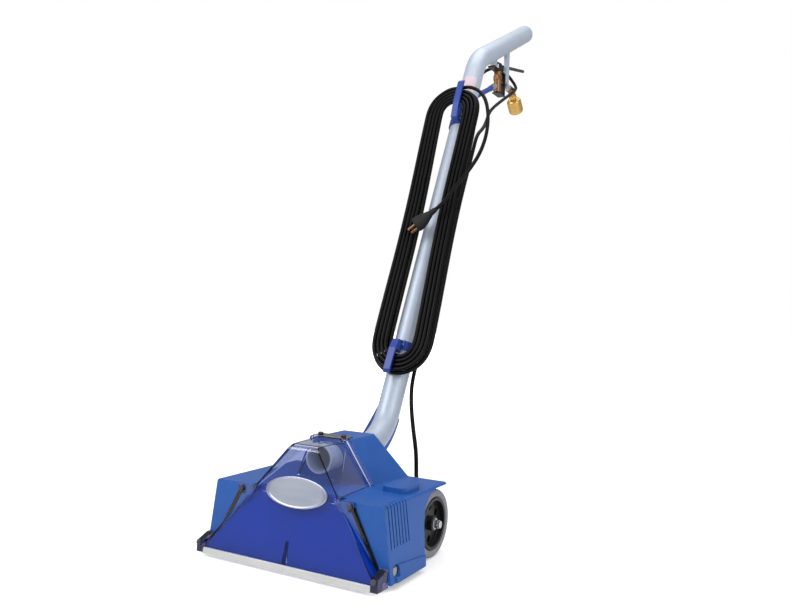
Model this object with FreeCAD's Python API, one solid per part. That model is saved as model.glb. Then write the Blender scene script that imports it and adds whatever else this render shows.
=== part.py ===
import FreeCAD, Part
import math
import os

# Pile brush carpet groomer: a powered cylinder brush under a moulded cover, a clear suction
# shoe at the front, and a bent suction tube as the handle with a valve, a hose and a wound cord.
# Millimetres. X is across the machine, +Y points from the suction lip to the rear, +Z is up.
# Every sub-part is drawn with Y counted from the lip and is saved with the origin on the floor,
# under the middle of the machine's length.

V = FreeCAD.Vector
X_AXIS = V(1, 0, 0)
Y_AXIS = V(0, 1, 0)
Z_AXIS = V(0, 0, 1)

# Running and seating clearances
seat_gap = 0.3
running_gap = 0.05
belt_gap = 0.3

# Cover
cover_wall = 3.5
deck_z = 121.0
cover_bottom_z = 9.0
cover_half_top = 160.0
cover_half_bottom = 176.0
cover_front_y = 33.0
cover_rear_y = 248.0
cover_rear_skirt_z = 22.0
deck_edge_radius = 5.0
ledge_proud = 2.0
ledge_front_z = 34.5
ledge_rear_z = 23.5
hump_top_z = 193.0
hump_top_half = 33.0
hump_top_front_y = 123.0
hump_top_rear_y = 217.0
hump_base_front_half = 72.0
hump_base_front_y = 140.0
hump_base_rear_half = 88.0
hump_edge_radius = 5.0
boss_x0 = 104.0
boss_x1 = 147.0
boss_y0 = 118.0
boss_y1 = 180.0
boss_height = 9.5
boss_corner = 12.0
louvre_count = 7
louvre_first_y = 42.0
louvre_pitch = 9.3
louvre_width = 3.0
louvre_bottom_z = 58.0
louvre_reach = 9.0

# Suction shoe, a clear hood
shoe_half = 171.5
shoe_wall = 3.0
shoe_low_y = 3.8
shoe_top_y = 51.0
shoe_bottom_z = 6.0
shoe_top_half = 25.0
shoe_top_z = 191.0
shoe_roll_radius = 13.0
shoe_deck_half = 80.0
ear_width = 12.5
ear_front_y = 1.5
ear_height = 30.0
flange_width = 23.0
flange_foot_x = 156.0
flange_foot_z = 26.0
gasket_proud = 1.8
flange_thickness = 3.0
top_flange_depth = 22.0
gasket_thickness = 1.2
gasket_width = 7.0
shoe_slot = 8.0
chute_wall = 2.5
rib_height = 42.0
rib_width = 7.0
lip_height = 9.0
lip_thickness = 3.0
lip_foot = 5.0
lip_bottom_z = 5.0
badge_width = 117.0
badge_height = 48.0
badge_thickness = 1.6
badge_z = 120.0
badge_x = 1.0
bolt_head_radius = 4.6
bolt_head_height = 4.0
bolt_shank_radius = 2.5
bolt_length = 16.0

# Brush and its drive
brush_y = 51.0
brush_radius = 26.0
brush_z = brush_radius + 0.3
brush_core_radius = 15.0
brush_core_wall = 5.0
brush_end_gap = 13.0
axle_radius = 7.95
bearing_outer = 11.0
bearing_width = 8.0
brush_pulley_radius = 10.5
motor_pulley_radius = 9.0
pulley_width = 9.0
pulley_inset = 12.7
belt_thickness = 2.4
belt_width = 6.6
motor_y = 124.0
motor_z = 74.0
motor_radius = 40.0
motor_left_x = -88.0
motor_right_x = 92.0
end_bell_length = 16.0
motor_shaft_radius = 5.95

# Steel frame inside the cover
plate_thickness = 4.0
side_plate_inset = 11.0
side_plate_front_y = 37.0
side_plate_rear_y = 112.0
frame_bottom_z = 12.0
frame_height = 66.0
floor_front_y = 104.0
floor_rear_y = 134.0
wheel_plate_x = 116.0
wheel_plate_rear_y = 238.0

# Wheels
wheel_radius = 57.0
wheel_y = 212.0
wheel_outer_x = 157.0
wheel_width = 28.0
tyre_depth = 14.0
hub_bore = 6.0
axle_bolt_radius = 5.95
well_gap = 4.0
well_inner_x = 121.5
washer_radius = 9.0
nut_radius = 7.5
nut_height = 6.0

# Spray bar and solution line
spray_y = 88.0
spray_z = 40.0
spray_radius = 6.0
spray_half = 104.0
nozzle_x = 62.0
nozzle_length = 14.0
line_radius = 4.0
line_x = -100.0
line_z = 64.0
hose_radius = 6.0
clip_width = 12.0

# Suction tube
tube_radius = 22.25
tube_wall = 1.6
mouth_y = 93.0
mouth_z = 163.0
lean_deg = 24.95
lean_foot_y = 350.7
lean_foot_z = 281.4
elbow_radius = 100.0
grip_deg = 28.0
grip_corner_t = 794.0
grip_bend_radius = 105.0
grip_length = 354.0
mouth_ring_width = 9.0
mouth_ring_thickness = 1.8
saddle_half = 9.0
saddle_depth = 11.0

# Valve, trigger and quick connector under the grip
tab_front_y = 764.0
tab_rear_y = 803.0
tab_thickness = 5.0
valve_y = 815.0
valve_rise = 10.7
valve_length = 50.0
valve_radius = 9.0
stem_radius = 2.5
stem_bore = 2.55
stem_length = 24.0
frame_plate = 3.0
strut_y = 873.0
strut_width = 21.0
strut_thickness = 7.0
pipe_radius = 5.0
pipe_drop = 20.0
trigger_pivot_y = 839.0
trigger_pivot_rise = 24.0
trigger_pin_radius = 2.0
trigger_tip_y = 1018.0
trigger_rise = 36.0
trigger_thickness = 3.0
trigger_width = 8.0
quick_deg = -45.0
quick_neck_radius = 7.5
quick_neck_length = 15.0
quick_sleeve_radius = 18.5
quick_sleeve_length = 40.0
quick_bore = 5.0
quick_travel = 5.0
quick_chamber_radius = 16.0
quick_end_wall = 5.0
ferrule_radius = 8.0
ferrule_length = 22.0

# Cord hooks
hook_clamp_width = 18.0
hook_clamp_wall = 3.0
hook_web_half = 7.0
hook_finger_thickness = 4.0
upper_hook_s = 603.0
upper_web_top_s = 633.0
upper_finger_tip_s = 695.0
lower_hook_s = 60.0
lower_web_top_s = 45.0
lower_finger_tip_s = -6.0

# Mains cord and its hank
route_share = 0.45
cord_radius = 3.9
strand_pitch = 8.5
hank_eighths = 71
hank_reverse = 37
hank_inner_half = 25.5
hank_waist = 6.0
hank_top_s = 620.0
hank_bottom_s = 62.0
hank_skew = 0.03
hank_start_s = 505.0
hank_rear_n = 27.4
gland_x = 76.0
gland_z = 84.0
gland_radius = 9.0
gland_length = 26.0
plug_length = 38.0
plug_face_half = 15.0
plug_neck_radius = 5.2
plug_depth_half = 10.0

# Lengths that follow from the sizes above
lean = math.radians(lean_deg)
grip = math.radians(grip_deg)
lean_dir = V(0, math.sin(lean), math.cos(lean))
front_dir = V(0, -math.cos(lean), math.sin(lean))
grip_dir = V(0, math.cos(grip), math.sin(grip))
lean_foot = V(0, lean_foot_y, lean_foot_z)
grip_corner = lean_foot + lean_dir * grip_corner_t


def cover_half_at(z):
    rise = (z - cover_bottom_z) / (deck_z - cover_bottom_z)
    return cover_half_bottom + (cover_half_top - cover_half_bottom) * rise


grip_end = grip_corner + grip_dir * grip_length
foremost_y = ear_front_y - bolt_head_height
mid_y = (foremost_y + trigger_tip_y) / 2.0
pulley_x = cover_half_at(motor_z) - pulley_inset
side_plate_x = pulley_x - side_plate_inset
brush_half = side_plate_x - brush_end_gap
valve_top_z = grip_corner.z + valve_rise
valve_bottom_z = valve_top_z - valve_length
pipe_z = valve_top_z - pipe_drop
trigger_pivot_z = valve_top_z + trigger_pivot_rise
shoe_slope = (shoe_top_y - shoe_low_y) / (shoe_top_z - lip_bottom_z)


# Small helpers
def box(x0, x1, y0, y1, z0, z1):
    return Part.makeBox(x1 - x0, y1 - y0, z1 - z0, V(x0, y0, z0))


def cylinder(radius, start, direction, length):
    return Part.makeCylinder(radius, length, start, direction)


def ring(outer, inner, start, direction, length):
    return cylinder(outer, start, direction, length).cut(cylinder(inner, start, direction, length))


def prism(points, direction):
    """A flat polygon pushed along a direction."""
    face = Part.Face(Part.makePolygon(list(points) + [points[0]]))
    return face.extrude(direction)


def side_prism(outline, x0, x1):
    """An outline of (y, z) points pushed from x0 to x1."""
    return prism([V(x0, y, z) for y, z in outline], V(x1 - x0, 0, 0))


def polyhedron(faces):
    """A closed solid from flat faces, each a list of corner points."""
    shell = Part.makeShell([Part.Face(Part.makePolygon(f + [f[0]])) for f in faces])
    solid = Part.makeSolid(shell)
    if solid.Volume < 0:
        solid.reverse()
    return solid


def fuse(shapes):
    whole = shapes[0]
    for other in shapes[1:]:
        whole = whole.fuse(other)
    return whole.removeSplitter()


def mirrored(shape):
    return shape.mirror(V(0, 0, 0), X_AXIS)


def pair(shape):
    """A shape and its twin on the left side."""
    return Part.makeCompound([shape, mirrored(shape)])


def bolt(seat, outward, length=None):
    """A dome-headed bolt whose head sits on the seat point."""
    head = cylinder(bolt_head_radius, seat, outward, bolt_head_height)
    top = [e for e in head.Edges if e.Curve.TypeId == "Part::GeomCircle"
           and (e.Curve.Center - seat).Length > bolt_head_height / 2]
    head = head.makeFillet(bolt_head_height * 0.45, top)
    shank = cylinder(bolt_shank_radius, seat, outward * -1, bolt_length if length is None else length)
    return head.fuse(shank)


def hole(seat, outward, length=None):
    reach = (bolt_length if length is None else length) + 1.0
    start = seat + outward * 0.5
    return cylinder(bolt_shank_radius + running_gap, start, outward * -1, reach)


def save(node, shape):
    os.makedirs("parts", exist_ok=True)
    placed = shape.copy()
    placed.translate(V(0, -mid_y, 0))
    placed.exportStep("parts/%s.step" % node)
    print("%-26s solids %d valid %s volume %.0f" % (node, len(placed.Solids), placed.isValid(), placed.Volume))


# Lines in the machine's upright mid plane
def tube_point(s, n, x=0.0):
    """A point s along the leaning tube and n in front of its axis."""
    return lean_foot + lean_dir * s + front_dir * n + V(x, 0, 0)


def tube_edges(start, end):
    """The tube's centre line in five runs, from start behind the mouth to end short of the grip's end."""
    foot_t = (mouth_z - lean_foot.z) / lean_dir.z
    foot_corner = lean_foot + lean_dir * foot_t
    elbow_turn = math.pi / 2 - lean
    elbow_tangent = elbow_radius * math.tan(elbow_turn / 2)
    bend_turn = elbow_turn - grip
    bend_tangent = grip_bend_radius * math.tan(bend_turn / 2)
    mouth = V(0, mouth_y + start, mouth_z)
    a = foot_corner - Y_AXIS * elbow_tangent
    c = foot_corner + lean_dir * elbow_tangent
    centre = a + Z_AXIS * elbow_radius
    half = elbow_turn / 2
    b = centre + V(0, math.sin(half), -math.cos(half)) * elbow_radius
    d = grip_corner - lean_dir * bend_tangent
    f = grip_corner + grip_dir * bend_tangent
    bend_centre = d - front_dir * grip_bend_radius
    spoke = (d - bend_centre) + (f - bend_centre)
    e = bend_centre + spoke.normalize() * grip_bend_radius
    return [Part.LineSegment(mouth, a).toShape(), Part.Arc(a, b, c).toShape(),
            Part.LineSegment(c, d).toShape(), Part.Arc(d, e, f).toShape(),
            Part.LineSegment(f, grip_end - grip_dir * end).toShape()]


def sweep_circle(edges, radius, start, direction):
    """A round bar along a smooth chain of edges."""
    section = Part.Wire([Part.Circle(start, direction, radius).toShape()])
    shell = Part.BRepOffsetAPI.MakePipeShell(Part.Wire(edges))
    shell.add(section)
    shell.build()
    shell.makeSolid()
    return shell.shape()


def tube_bar(radius, start=0.0, end=0.0):
    return sweep_circle(tube_edges(start, end), radius, V(0, mouth_y + start, mouth_z), Y_AXIS)


# Routes of cords and hoses: straight runs joined by tangent arcs
def route_edges(points, name):
    """Straight runs with an arc at each inner point, as large as its two runs allow."""
    edges = []
    here = points[0]
    tightest = 1e9
    for k in range(1, len(points) - 1):
        before = points[k] - points[k - 1]
        after = points[k + 1] - points[k]
        turn = before.getAngle(after)
        radius = route_share * min(before.Length, after.Length) / math.tan(turn / 2)
        tangent = radius * math.tan(turn / 2)
        u = V(before).normalize()
        w = V(after).normalize()
        a = points[k] - u * tangent
        c = points[k] + w * tangent
        inward = (w - u).normalize()
        b = points[k] + inward * (radius / math.cos(turn / 2) - radius)
        edges.append(Part.LineSegment(here, a).toShape())
        edges.append(Part.Arc(a, b, c).toShape())
        here = c
        tightest = min(tightest, radius)
        print("   %s point %d: turn %.0f deg, radius %.0f" % (name, k, math.degrees(turn), radius))
    edges.append(Part.LineSegment(here, points[-1]).toShape())
    print("   %s tightest radius %.1f" % (name, tightest))
    return edges


def route_tube(points, radius, name):
    edges = route_edges(points, name)
    start = V(points[1] - points[0]).normalize()
    solid = sweep_circle(edges, radius, points[0], start)
    length = sum(e.Length for e in edges)
    print("   %s length %.1f, volume %.1f, section x length %.1f"
          % (name, length, solid.Volume, math.pi * radius ** 2 * length))
    return solid


# Cover
def cover_block(inset, bottom_z):
    """The drafted box under the deck, drawn in by inset on every side but the bottom."""
    top_z = deck_z - inset
    half_low = cover_half_at(bottom_z) - inset
    half_high = cover_half_at(top_z) - inset
    outline = [V(-half_low, 0, bottom_z), V(half_low, 0, bottom_z), V(half_high, 0, top_z), V(-half_high, 0, top_z)]
    front = cover_front_y + inset
    block = prism([p + V(0, front, 0) for p in outline], V(0, cover_rear_y - inset - front, 0))
    return block


def hump_solid(inset, base_z):
    """The tapered hump over the tube's elbow, carried down to base_z."""
    drop = (hump_top_z - base_z) / (hump_top_z - deck_z)
    front_half = hump_top_half + (hump_base_front_half - hump_top_half) * drop
    rear_half = hump_top_half + (hump_base_rear_half - hump_top_half) * drop
    front_y = hump_top_front_y + (hump_base_front_y - hump_top_front_y) * drop
    rear_y = hump_top_rear_y + (cover_rear_y - hump_top_rear_y) * drop
    low = [V(-front_half + inset, front_y + inset, base_z), V(front_half - inset, front_y + inset, base_z),
           V(rear_half - inset, rear_y - inset, base_z), V(-rear_half + inset, rear_y - inset, base_z)]
    top_half = hump_top_half - inset
    high_z = hump_top_z - inset
    high = [V(-top_half, hump_top_front_y + inset, high_z), V(top_half, hump_top_front_y + inset, high_z),
            V(top_half, hump_top_rear_y - inset, high_z), V(-top_half, hump_top_rear_y - inset, high_z)]
    wires = [Part.makePolygon(low + [low[0]]), Part.makePolygon(high + [high[0]])]
    solid = Part.makeLoft(wires, True, True)
    if solid.Volume < 0:
        solid.reverse()
    return solid


def boss_solid(inset):
    """The raised platform over the belt on the deck's right side."""
    solid = box(boss_x0 + inset, boss_x1 - inset, boss_y0 + inset, boss_y1 - inset,
                deck_z - cover_wall - 1.0, deck_z + boss_height - inset)
    upright = [e for e in solid.Edges if abs(e.tangentAt(e.FirstParameter).z) > 0.9]
    return solid.makeFillet(boss_corner - inset, upright)


def wheel_well(grow):
    """The space that the right wheel needs, open to the side, the floor and the rear."""
    radius = wheel_radius + well_gap + grow
    inner_x = well_inner_x - grow
    roof_z = deck_z - cover_wall + (0.0 if grow == 0 else cover_wall)
    width = 80.0
    arc = cylinder(radius, V(inner_x, wheel_y, wheel_radius), X_AXIS, width)
    toe_y = wheel_y - radius - 10.0
    below = side_prism([(wheel_y - radius, wheel_radius), (toe_y, -1.0), (cover_rear_y + 40, -1.0),
                        (cover_rear_y + 40, wheel_radius)], inner_x, inner_x + width)
    behind = box(inner_x, inner_x + width, wheel_y, cover_rear_y + 40, wheel_radius - 1, roof_z)
    roof = box(inner_x, inner_x + width, wheel_y - radius, cover_rear_y + 40, -2.0, roof_z)
    return fuse([arc, below, behind]).common(roof.fuse(below))


def shoe_outer_y(z):
    return shoe_low_y + shoe_slope * (z - lip_bottom_z)


def shoe_half_at(z):
    rise = (z - lip_bottom_z) / (shoe_top_z - lip_bottom_z)
    return shoe_half + (shoe_top_half - shoe_half) * rise


def front_opening(grow):
    """The opening in the cover's front wall behind the shoe, a trapezium pushed through the wall."""
    low_z = cover_bottom_z - 5.0
    high_z = deck_z + 5.0
    low_half = shoe_half_at(low_z) - shoe_wall + grow
    high_half = shoe_half_at(high_z) - shoe_wall + grow
    points = [V(-low_half, 0, low_z), V(low_half, 0, low_z), V(high_half, 0, high_z), V(-high_half, 0, high_z)]
    return prism([p + V(0, cover_front_y - 1.0, 0) for p in points], V(0, cover_wall + 14.0, 0))


def chute_y(z):
    return shoe_outer_y(z) + shoe_wall + shoe_slot


def louvres():
    slots = []
    for k in range(louvre_count):
        y = louvre_first_y + k * louvre_pitch
        inner_x = cover_half_top - louvre_reach
        slots.append(box(inner_x, cover_half_bottom + 4, y, y + louvre_width, louvre_bottom_z, deck_z + 5))
    return Part.makeCompound(slots)


def cover_bolts_seats():
    """Seats of the shoe's bolts on the front wall and on the hump's top."""
    front_y = cover_front_y - gasket_thickness - flange_thickness
    return {
        "deck": V(shoe_deck_half + flange_width + 1.0, front_y, deck_z - 7.0),
        "ear": V(shoe_half - ear_width / 2, ear_front_y, lip_bottom_z + 0.56 * ear_height),
        "top": V(hump_top_half - 10.0, hump_top_front_y + 8.0, hump_top_z + gasket_thickness + flange_thickness),
    }


def cover_shell():
    outer = cover_block(0.0, cover_bottom_z)
    shoulder = [e for e in outer.Edges
                if min(v.Z for v in e.Vertexes) > deck_z - 1 and max(v.Y for v in e.Vertexes) - min(v.Y for v in e.Vertexes) > 1]
    outer = outer.makeFillet(deck_edge_radius, shoulder)
    ledge_outline = [(cover_front_y + 16, cover_bottom_z), (cover_front_y + 16, ledge_front_z),
                     (wheel_y, ledge_rear_z - 5.0), (wheel_y, cover_bottom_z)]
    low_half = cover_half_bottom + ledge_proud
    high_half = cover_half_at(ledge_front_z) + ledge_proud
    ledge_band = prism([V(-low_half, 0, cover_bottom_z), V(low_half, 0, cover_bottom_z),
                        V(high_half, 0, ledge_front_z), V(-high_half, 0, ledge_front_z)], V(0, wheel_y, 0))
    ledge = ledge_band.common(side_prism(ledge_outline, -cover_half_bottom - 10, cover_half_bottom + 10))
    hump = hump_solid(0.0, deck_z - 2.0)
    hump_edges = [e for e in hump.Edges if max(v.Z for v in e.Vertexes) > hump_top_z - 1
                  and abs(e.tangentAt(e.FirstParameter).z) > 0.2]
    hump_edges += [e for e in hump.Edges if min(v.Z for v in e.Vertexes) > hump_top_z - 1
                   and abs(e.tangentAt(e.FirstParameter).x) < 0.5]
    hump = hump.makeFillet(hump_edge_radius, hump_edges)
    outer = outer.fuse([ledge, hump, boss_solid(0.0)])
    wells = wheel_well(0.0)
    outer = outer.cut(Part.makeCompound([wells, mirrored(wells)]))
    room = cover_block(cover_wall, cover_bottom_z - 10)
    hump_room = hump_solid(cover_wall, deck_z - cover_wall - 1.0)
    room = room.fuse([hump_room, boss_solid(cover_wall)])
    thick_wells = wheel_well(cover_wall)
    room = room.cut(Part.makeCompound([thick_wells, mirrored(thick_wells)]))
    shell = outer.cut(room)
    shell = shell.cut(front_opening(0.0))
    notch_half = shoe_half_at(deck_z - 8.0) + seat_gap
    shell = shell.cut(box(-notch_half, notch_half, cover_front_y - 1, cover_front_y + cover_wall + 14,
                          deck_z - 8.0, deck_z + 1))
    shell = shell.cut(louvres())
    shell = shell.cut(tube_bar(tube_radius + seat_gap, 10.0, 0.0))
    rear_low = box(-cover_half_bottom - 9, cover_half_bottom + 9, cover_rear_y - cover_wall - 1, cover_rear_y + 5,
                   0, cover_rear_skirt_z)
    shell = shell.cut(rear_low)
    axle_hole = cylinder(8.6, V(cover_half_bottom - 20, brush_y, brush_z), X_AXIS, 40)
    pocket = side_prism([(brush_y - 13, brush_z - 9), (brush_y - 4, brush_z + 16), (brush_y + 9, brush_z + 9),
                         (brush_y + 9, brush_z - 9)], cover_half_at(brush_z) + 0.8, cover_half_bottom + 9)
    wheel_hole = cylinder(washer_radius + 2 * seat_gap, V(well_inner_x - 10, wheel_y, wheel_radius), X_AXIS, 20)
    for cutter in (axle_hole, pocket, wheel_hole):
        shell = shell.cut(Part.makeCompound([cutter, mirrored(cutter)]))
    shell = shell.cut(cylinder(gland_radius * 0.6 + running_gap, V(gland_x, cover_rear_y - 12, gland_z), Y_AXIS, 30))
    shell = shell.cut(cylinder(hose_radius + 1.0 + running_gap, V(line_x, cover_rear_y - 12, line_z), Y_AXIS, 30))
    seats = cover_bolts_seats()
    for seat, outward in ((seats["deck"], Y_AXIS * -1), (seats["top"], Z_AXIS)):
        drill = hole(seat, outward)
        shell = shell.cut(Part.makeCompound([drill, mirrored(drill)]))
    return shell


def chute_plate():
    """The sloping blue wall behind the shoe, with its cheeks back to the front wall and its top lip."""
    low_z = cover_bottom_z
    high_z = deck_z

    def slab(y_offset, depth, half_cut):
        def row(z):
            return chute_y(z) + y_offset
        low = shoe_half_at(low_z) - shoe_wall * 1.3 - half_cut
        high = shoe_half_at(high_z) - shoe_wall * 1.3 - half_cut
        face = [V(-low, row(low_z), low_z), V(low, row(low_z), low_z),
                V(high, row(high_z), high_z), V(-high, row(high_z), high_z)]
        return prism(face, V(0, depth, 0))

    plate = slab(0.0, chute_wall, seat_gap)
    reach = shoe_slot - seat_gap
    tray = slab(-reach, reach + 14.0 + chute_wall, seat_gap).cut(slab(-20.0, 60.0, seat_gap + chute_wall))
    span = 2 * shoe_half
    before = box(-span, span, cover_front_y - 30, cover_front_y + cover_wall, 0, hump_top_z)
    ahead = slab(0.0, 60.0, -40.0)
    behind = slab(-60.0, 60.0 + chute_wall, -40.0)
    after = box(-span, span, cover_front_y, cover_front_y + 60, 0, hump_top_z)
    cheeks = tray.common(ahead).common(before).fuse(tray.common(behind).common(after))
    top_edge = box(-shoe_half_at(high_z) + shoe_wall * 1.3 + seat_gap, shoe_half_at(high_z) - shoe_wall * 1.3 - seat_gap,
                   chute_y(high_z), cover_front_y + cover_wall + 14.0, high_z - cover_wall, high_z)
    return fuse([plate, cheeks, top_edge])


def hood_corners(inset):
    """Corners of the hood over the deck, drawn in by inset."""
    lift = 0.0 if inset == 0 else -2.0
    low_z = deck_z + lift
    top_z = shoe_top_z - inset
    half_low = shoe_half_at(low_z) - inset * 1.35
    half_top = shoe_top_half - inset * 1.1
    rear_top_half = hump_top_half - inset
    y_back = -seat_gap if inset == 0 else 4.0
    slope_y = (hump_base_front_y - hump_top_front_y) / (hump_top_z - deck_z)
    return {
        "fl": V(-half_low, shoe_outer_y(low_z) + inset, low_z), "fr": V(half_low, shoe_outer_y(low_z) + inset, low_z),
        "tl": V(-half_top, shoe_outer_y(top_z) + inset, top_z), "tr": V(half_top, shoe_outer_y(top_z) + inset, top_z),
        "bl": V(-rear_top_half, hump_top_front_y + y_back + slope_y * (hump_top_z - top_z), top_z),
        "br": V(rear_top_half, hump_top_front_y + y_back + slope_y * (hump_top_z - top_z), top_z),
        "rl": V(-hump_base_front_half + inset, hump_base_front_y + y_back - slope_y * lift, low_z),
        "rr": V(hump_base_front_half - inset, hump_base_front_y + y_back - slope_y * lift, low_z),
    }


def hood_solid(inset):
    c = hood_corners(inset)
    faces = [[c["fl"], c["fr"], c["tr"], c["tl"]], [c["tl"], c["tr"], c["br"], c["bl"]],
             [c["fr"], c["br"], c["tr"]], [c["fr"], c["rr"], c["br"]],
             [c["fl"], c["tl"], c["bl"]], [c["fl"], c["bl"], c["rl"]],
             [c["fl"], c["rl"], c["rr"], c["fr"]], [c["bl"], c["br"], c["rr"], c["rl"]]]
    solid = polyhedron(faces)
    roll = shoe_roll_radius - inset
    edges = [e for e in solid.Edges
             if all(abs(v.Z - c["tr"].z) < 0.01 and abs(v.Y - c["tr"].y) < 0.01 for v in e.Vertexes)]
    return solid.makeFillet(roll, edges)


def low_front(inset, y_back):
    """The shoe below the deck: a trapezium with a sloping face, back to y_back."""
    low_z = shoe_bottom_z - (0.0 if inset == 0 else 4.0)
    high_z = deck_z
    low = shoe_half_at(low_z) - inset * 1.3
    high = shoe_half_at(high_z) - inset * 1.3
    y_low = shoe_outer_y(low_z) + inset
    y_high = shoe_outer_y(high_z) + inset
    front = [V(-low, y_low, low_z), V(low, y_low, low_z), V(high, y_high, high_z), V(-high, y_high, high_z)]
    deep = prism(front, V(0, 200, 0))
    return deep.common(box(-shoe_half - 10, shoe_half + 10, -20, y_back, low_z, high_z))


def suction_shoe():
    flange_back = cover_front_y - gasket_thickness
    flange_front = flange_back - flange_thickness
    seats = cover_bolts_seats()
    low = low_front(0.0, flange_back).cut(low_front(shoe_wall, flange_back + 5))
    hood = hood_solid(0.0).cut(hood_solid(shoe_wall))
    hood = hood.cut(box(-300, 300, 0, 300, 0, deck_z))
    bridge = low_front(0.0, cover_front_y + cover_wall).cut(low_front(shoe_wall, 100.0))
    bridge = bridge.common(box(-300, 300, 0, 300, deck_z - 8.0 + seat_gap, deck_z))
    bridge_half = shoe_half_at(deck_z)
    band = [(bridge_half - 6.0, deck_z), (seats["deck"].x + 7.0, deck_z), (seats["deck"].x + 7.0, deck_z - 12.0),
            (flange_foot_x, flange_foot_z), (flange_foot_x, shoe_bottom_z), (flange_foot_x - 12.0, shoe_bottom_z)]
    flange = prism([V(x, flange_front, z) for x, z in band], V(0, flange_thickness, 0))
    flange = flange.cut(low_front(shoe_wall, flange_back + 5))
    ear = box(shoe_half - ear_width, shoe_half, ear_front_y, flange_back, shoe_bottom_z, lip_bottom_z + ear_height - 2)
    ear_top = side_prism([(0, lip_bottom_z + ear_height - 12), (0, 60), (flange_front, 60),
                          (flange_front - 4, lip_bottom_z + ear_height - 2)], 0, 200)
    ear = ear.cut(ear_top).cut(low_front(shoe_wall, 100.0))
    flat = box(-hump_top_half + 1, hump_top_half - 1, hump_top_front_y - 2, hump_top_front_y + top_flange_depth,
               hump_top_z + gasket_thickness, hump_top_z + gasket_thickness + flange_thickness)
    grown = hump_solid(-flange_thickness, deck_z - 5)
    skin = grown.cut(hump_solid(-seat_gap, deck_z - 10))
    slope_y = (hump_base_front_y - hump_top_front_y) / (hump_top_z - deck_z)
    edge_y = hump_top_front_y
    strip = side_prism([(edge_y - 12, hump_top_z + 2), (edge_y + 7, hump_top_z + 2),
                        (hump_base_front_y + 7, deck_z + seat_gap), (hump_base_front_y - 12, deck_z + seat_gap)], -200, 200)
    strip = strip.cut(box(-hump_top_half + 4, hump_top_half - 4, 0, 300, 0, 300))
    edge_band = skin.common(strip).cut(hood_solid(shoe_wall))
    rib = side_prism([(shoe_outer_y(shoe_bottom_z) + shoe_wall - 1, shoe_bottom_z + 2),
                      (shoe_outer_y(shoe_bottom_z) + shoe_wall + 6, shoe_bottom_z + 2),
                      (shoe_outer_y(rib_height) + shoe_wall, rib_height + shoe_bottom_z)], -rib_width / 2, rib_width / 2)
    step = box(-hump_top_half + 4, hump_top_half - 4, hump_top_front_y - 6, hump_top_front_y - seat_gap,
               shoe_top_z - shoe_wall, hump_top_z + gasket_thickness + flange_thickness)
    shoe = fuse([low, bridge, hood, flange, mirrored(flange), ear, mirrored(ear), flat, step, edge_band, rib])
    for seat, outward in ((seats["deck"], Y_AXIS * -1), (seats["ear"], Y_AXIS * -1), (seats["top"], Z_AXIS)):
        drill = hole(seat, outward)
        shoe = shoe.cut(Part.makeCompound([drill, mirrored(drill)]))
    return shoe.cut(lip_body(seat_gap))


def shoe_gasket():
    """The dark seal between the shoe's flanges and the cover."""
    seats = cover_bolts_seats()
    top_z = deck_z - 8.0
    low_z = shoe_bottom_z + 4.0
    y0 = cover_front_y - gasket_thickness
    outer_x = seats["deck"].x + 7.0 + gasket_proud
    foot_x = flange_foot_x + gasket_proud
    seat_x = seats["deck"].x - 2 * bolt_shank_radius
    band = [(seat_x, top_z), (outer_x, top_z), (outer_x, top_z - 4.0), (foot_x, flange_foot_z),
            (foot_x, low_z), (foot_x - gasket_width, low_z), (foot_x - gasket_width, flange_foot_z),
            (outer_x - gasket_width, top_z - 8.0), (seat_x, top_z - 8.0)]
    side = prism([V(x, y0, z) for x, z in band], V(0, gasket_thickness, 0)).cut(low_front(shoe_wall, 100.0))
    top = box(-hump_top_half + 4.5, hump_top_half - 4.5, hump_top_front_y + 0.5, hump_top_front_y + top_flange_depth,
              hump_top_z, hump_top_z + gasket_thickness)
    drills = [hole(seats["deck"], Y_AXIS * -1), hole(seats["top"], Z_AXIS)]
    pieces = []
    for piece in (side, mirrored(side), top):
        for drill in drills:
            piece = piece.cut(Part.makeCompound([drill, mirrored(drill)]))
        pieces.append(piece)
    return Part.makeCompound(pieces)


def lip_body(grow):
    half = shoe_half - ear_width - 0.5 + grow
    y = shoe_outer_y(lip_bottom_z)
    slope = shoe_slope * lip_height
    outline = [(y - lip_thickness - grow, lip_bottom_z - grow), (y + lip_foot + grow, lip_bottom_z - grow),
               (y + lip_foot + grow, shoe_bottom_z - 0.0), (y, shoe_bottom_z - 0.0),
               (y + slope, lip_bottom_z + lip_height + grow), (y + slope - lip_thickness - grow, lip_bottom_z + lip_height + grow)]
    return side_prism(outline, -half, half)


def badge():
    """A bare oval plate on the shoe's face."""
    oval = Part.Ellipse(V(0, 0, 0), badge_width / 2, badge_height / 2)
    plate = Part.Face(Part.Wire([oval.toShape()])).extrude(V(0, 0, badge_thickness))
    rim = [e for e in plate.Edges if min(v.Z for v in e.Vertexes) > badge_thickness - 0.01]
    plate = plate.makeFillet(badge_thickness * 0.6, rim)
    tilt = math.degrees(math.atan(shoe_slope))
    plate.rotate(V(0, 0, 0), X_AXIS, 90 - tilt)
    plate.translate(V(badge_x, shoe_outer_y(badge_z) - 0.02, badge_z))
    return plate


# Brush, belt and motor
def brush_core():
    start = V(-brush_half, brush_y, brush_z)
    core = ring(brush_core_radius, brush_core_radius - brush_core_wall, start, X_AXIS, 2 * brush_half)
    ends = [cylinder(brush_core_radius - 1, V(x, brush_y, brush_z), X_AXIS, 8) for x in (-brush_half, brush_half - 8)]
    journal = cylinder(axle_radius, V(-side_plate_x - 12, brush_y, brush_z), X_AXIS,
                       pulley_x + pulley_width / 2 + 2 + side_plate_x + 12)
    return fuse([core] + ends + [journal])


def brush_bristles():
    start = V(-brush_half + 2, brush_y, brush_z)
    return ring(brush_radius, brush_core_radius, start, X_AXIS, 2 * brush_half - 4)


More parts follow.
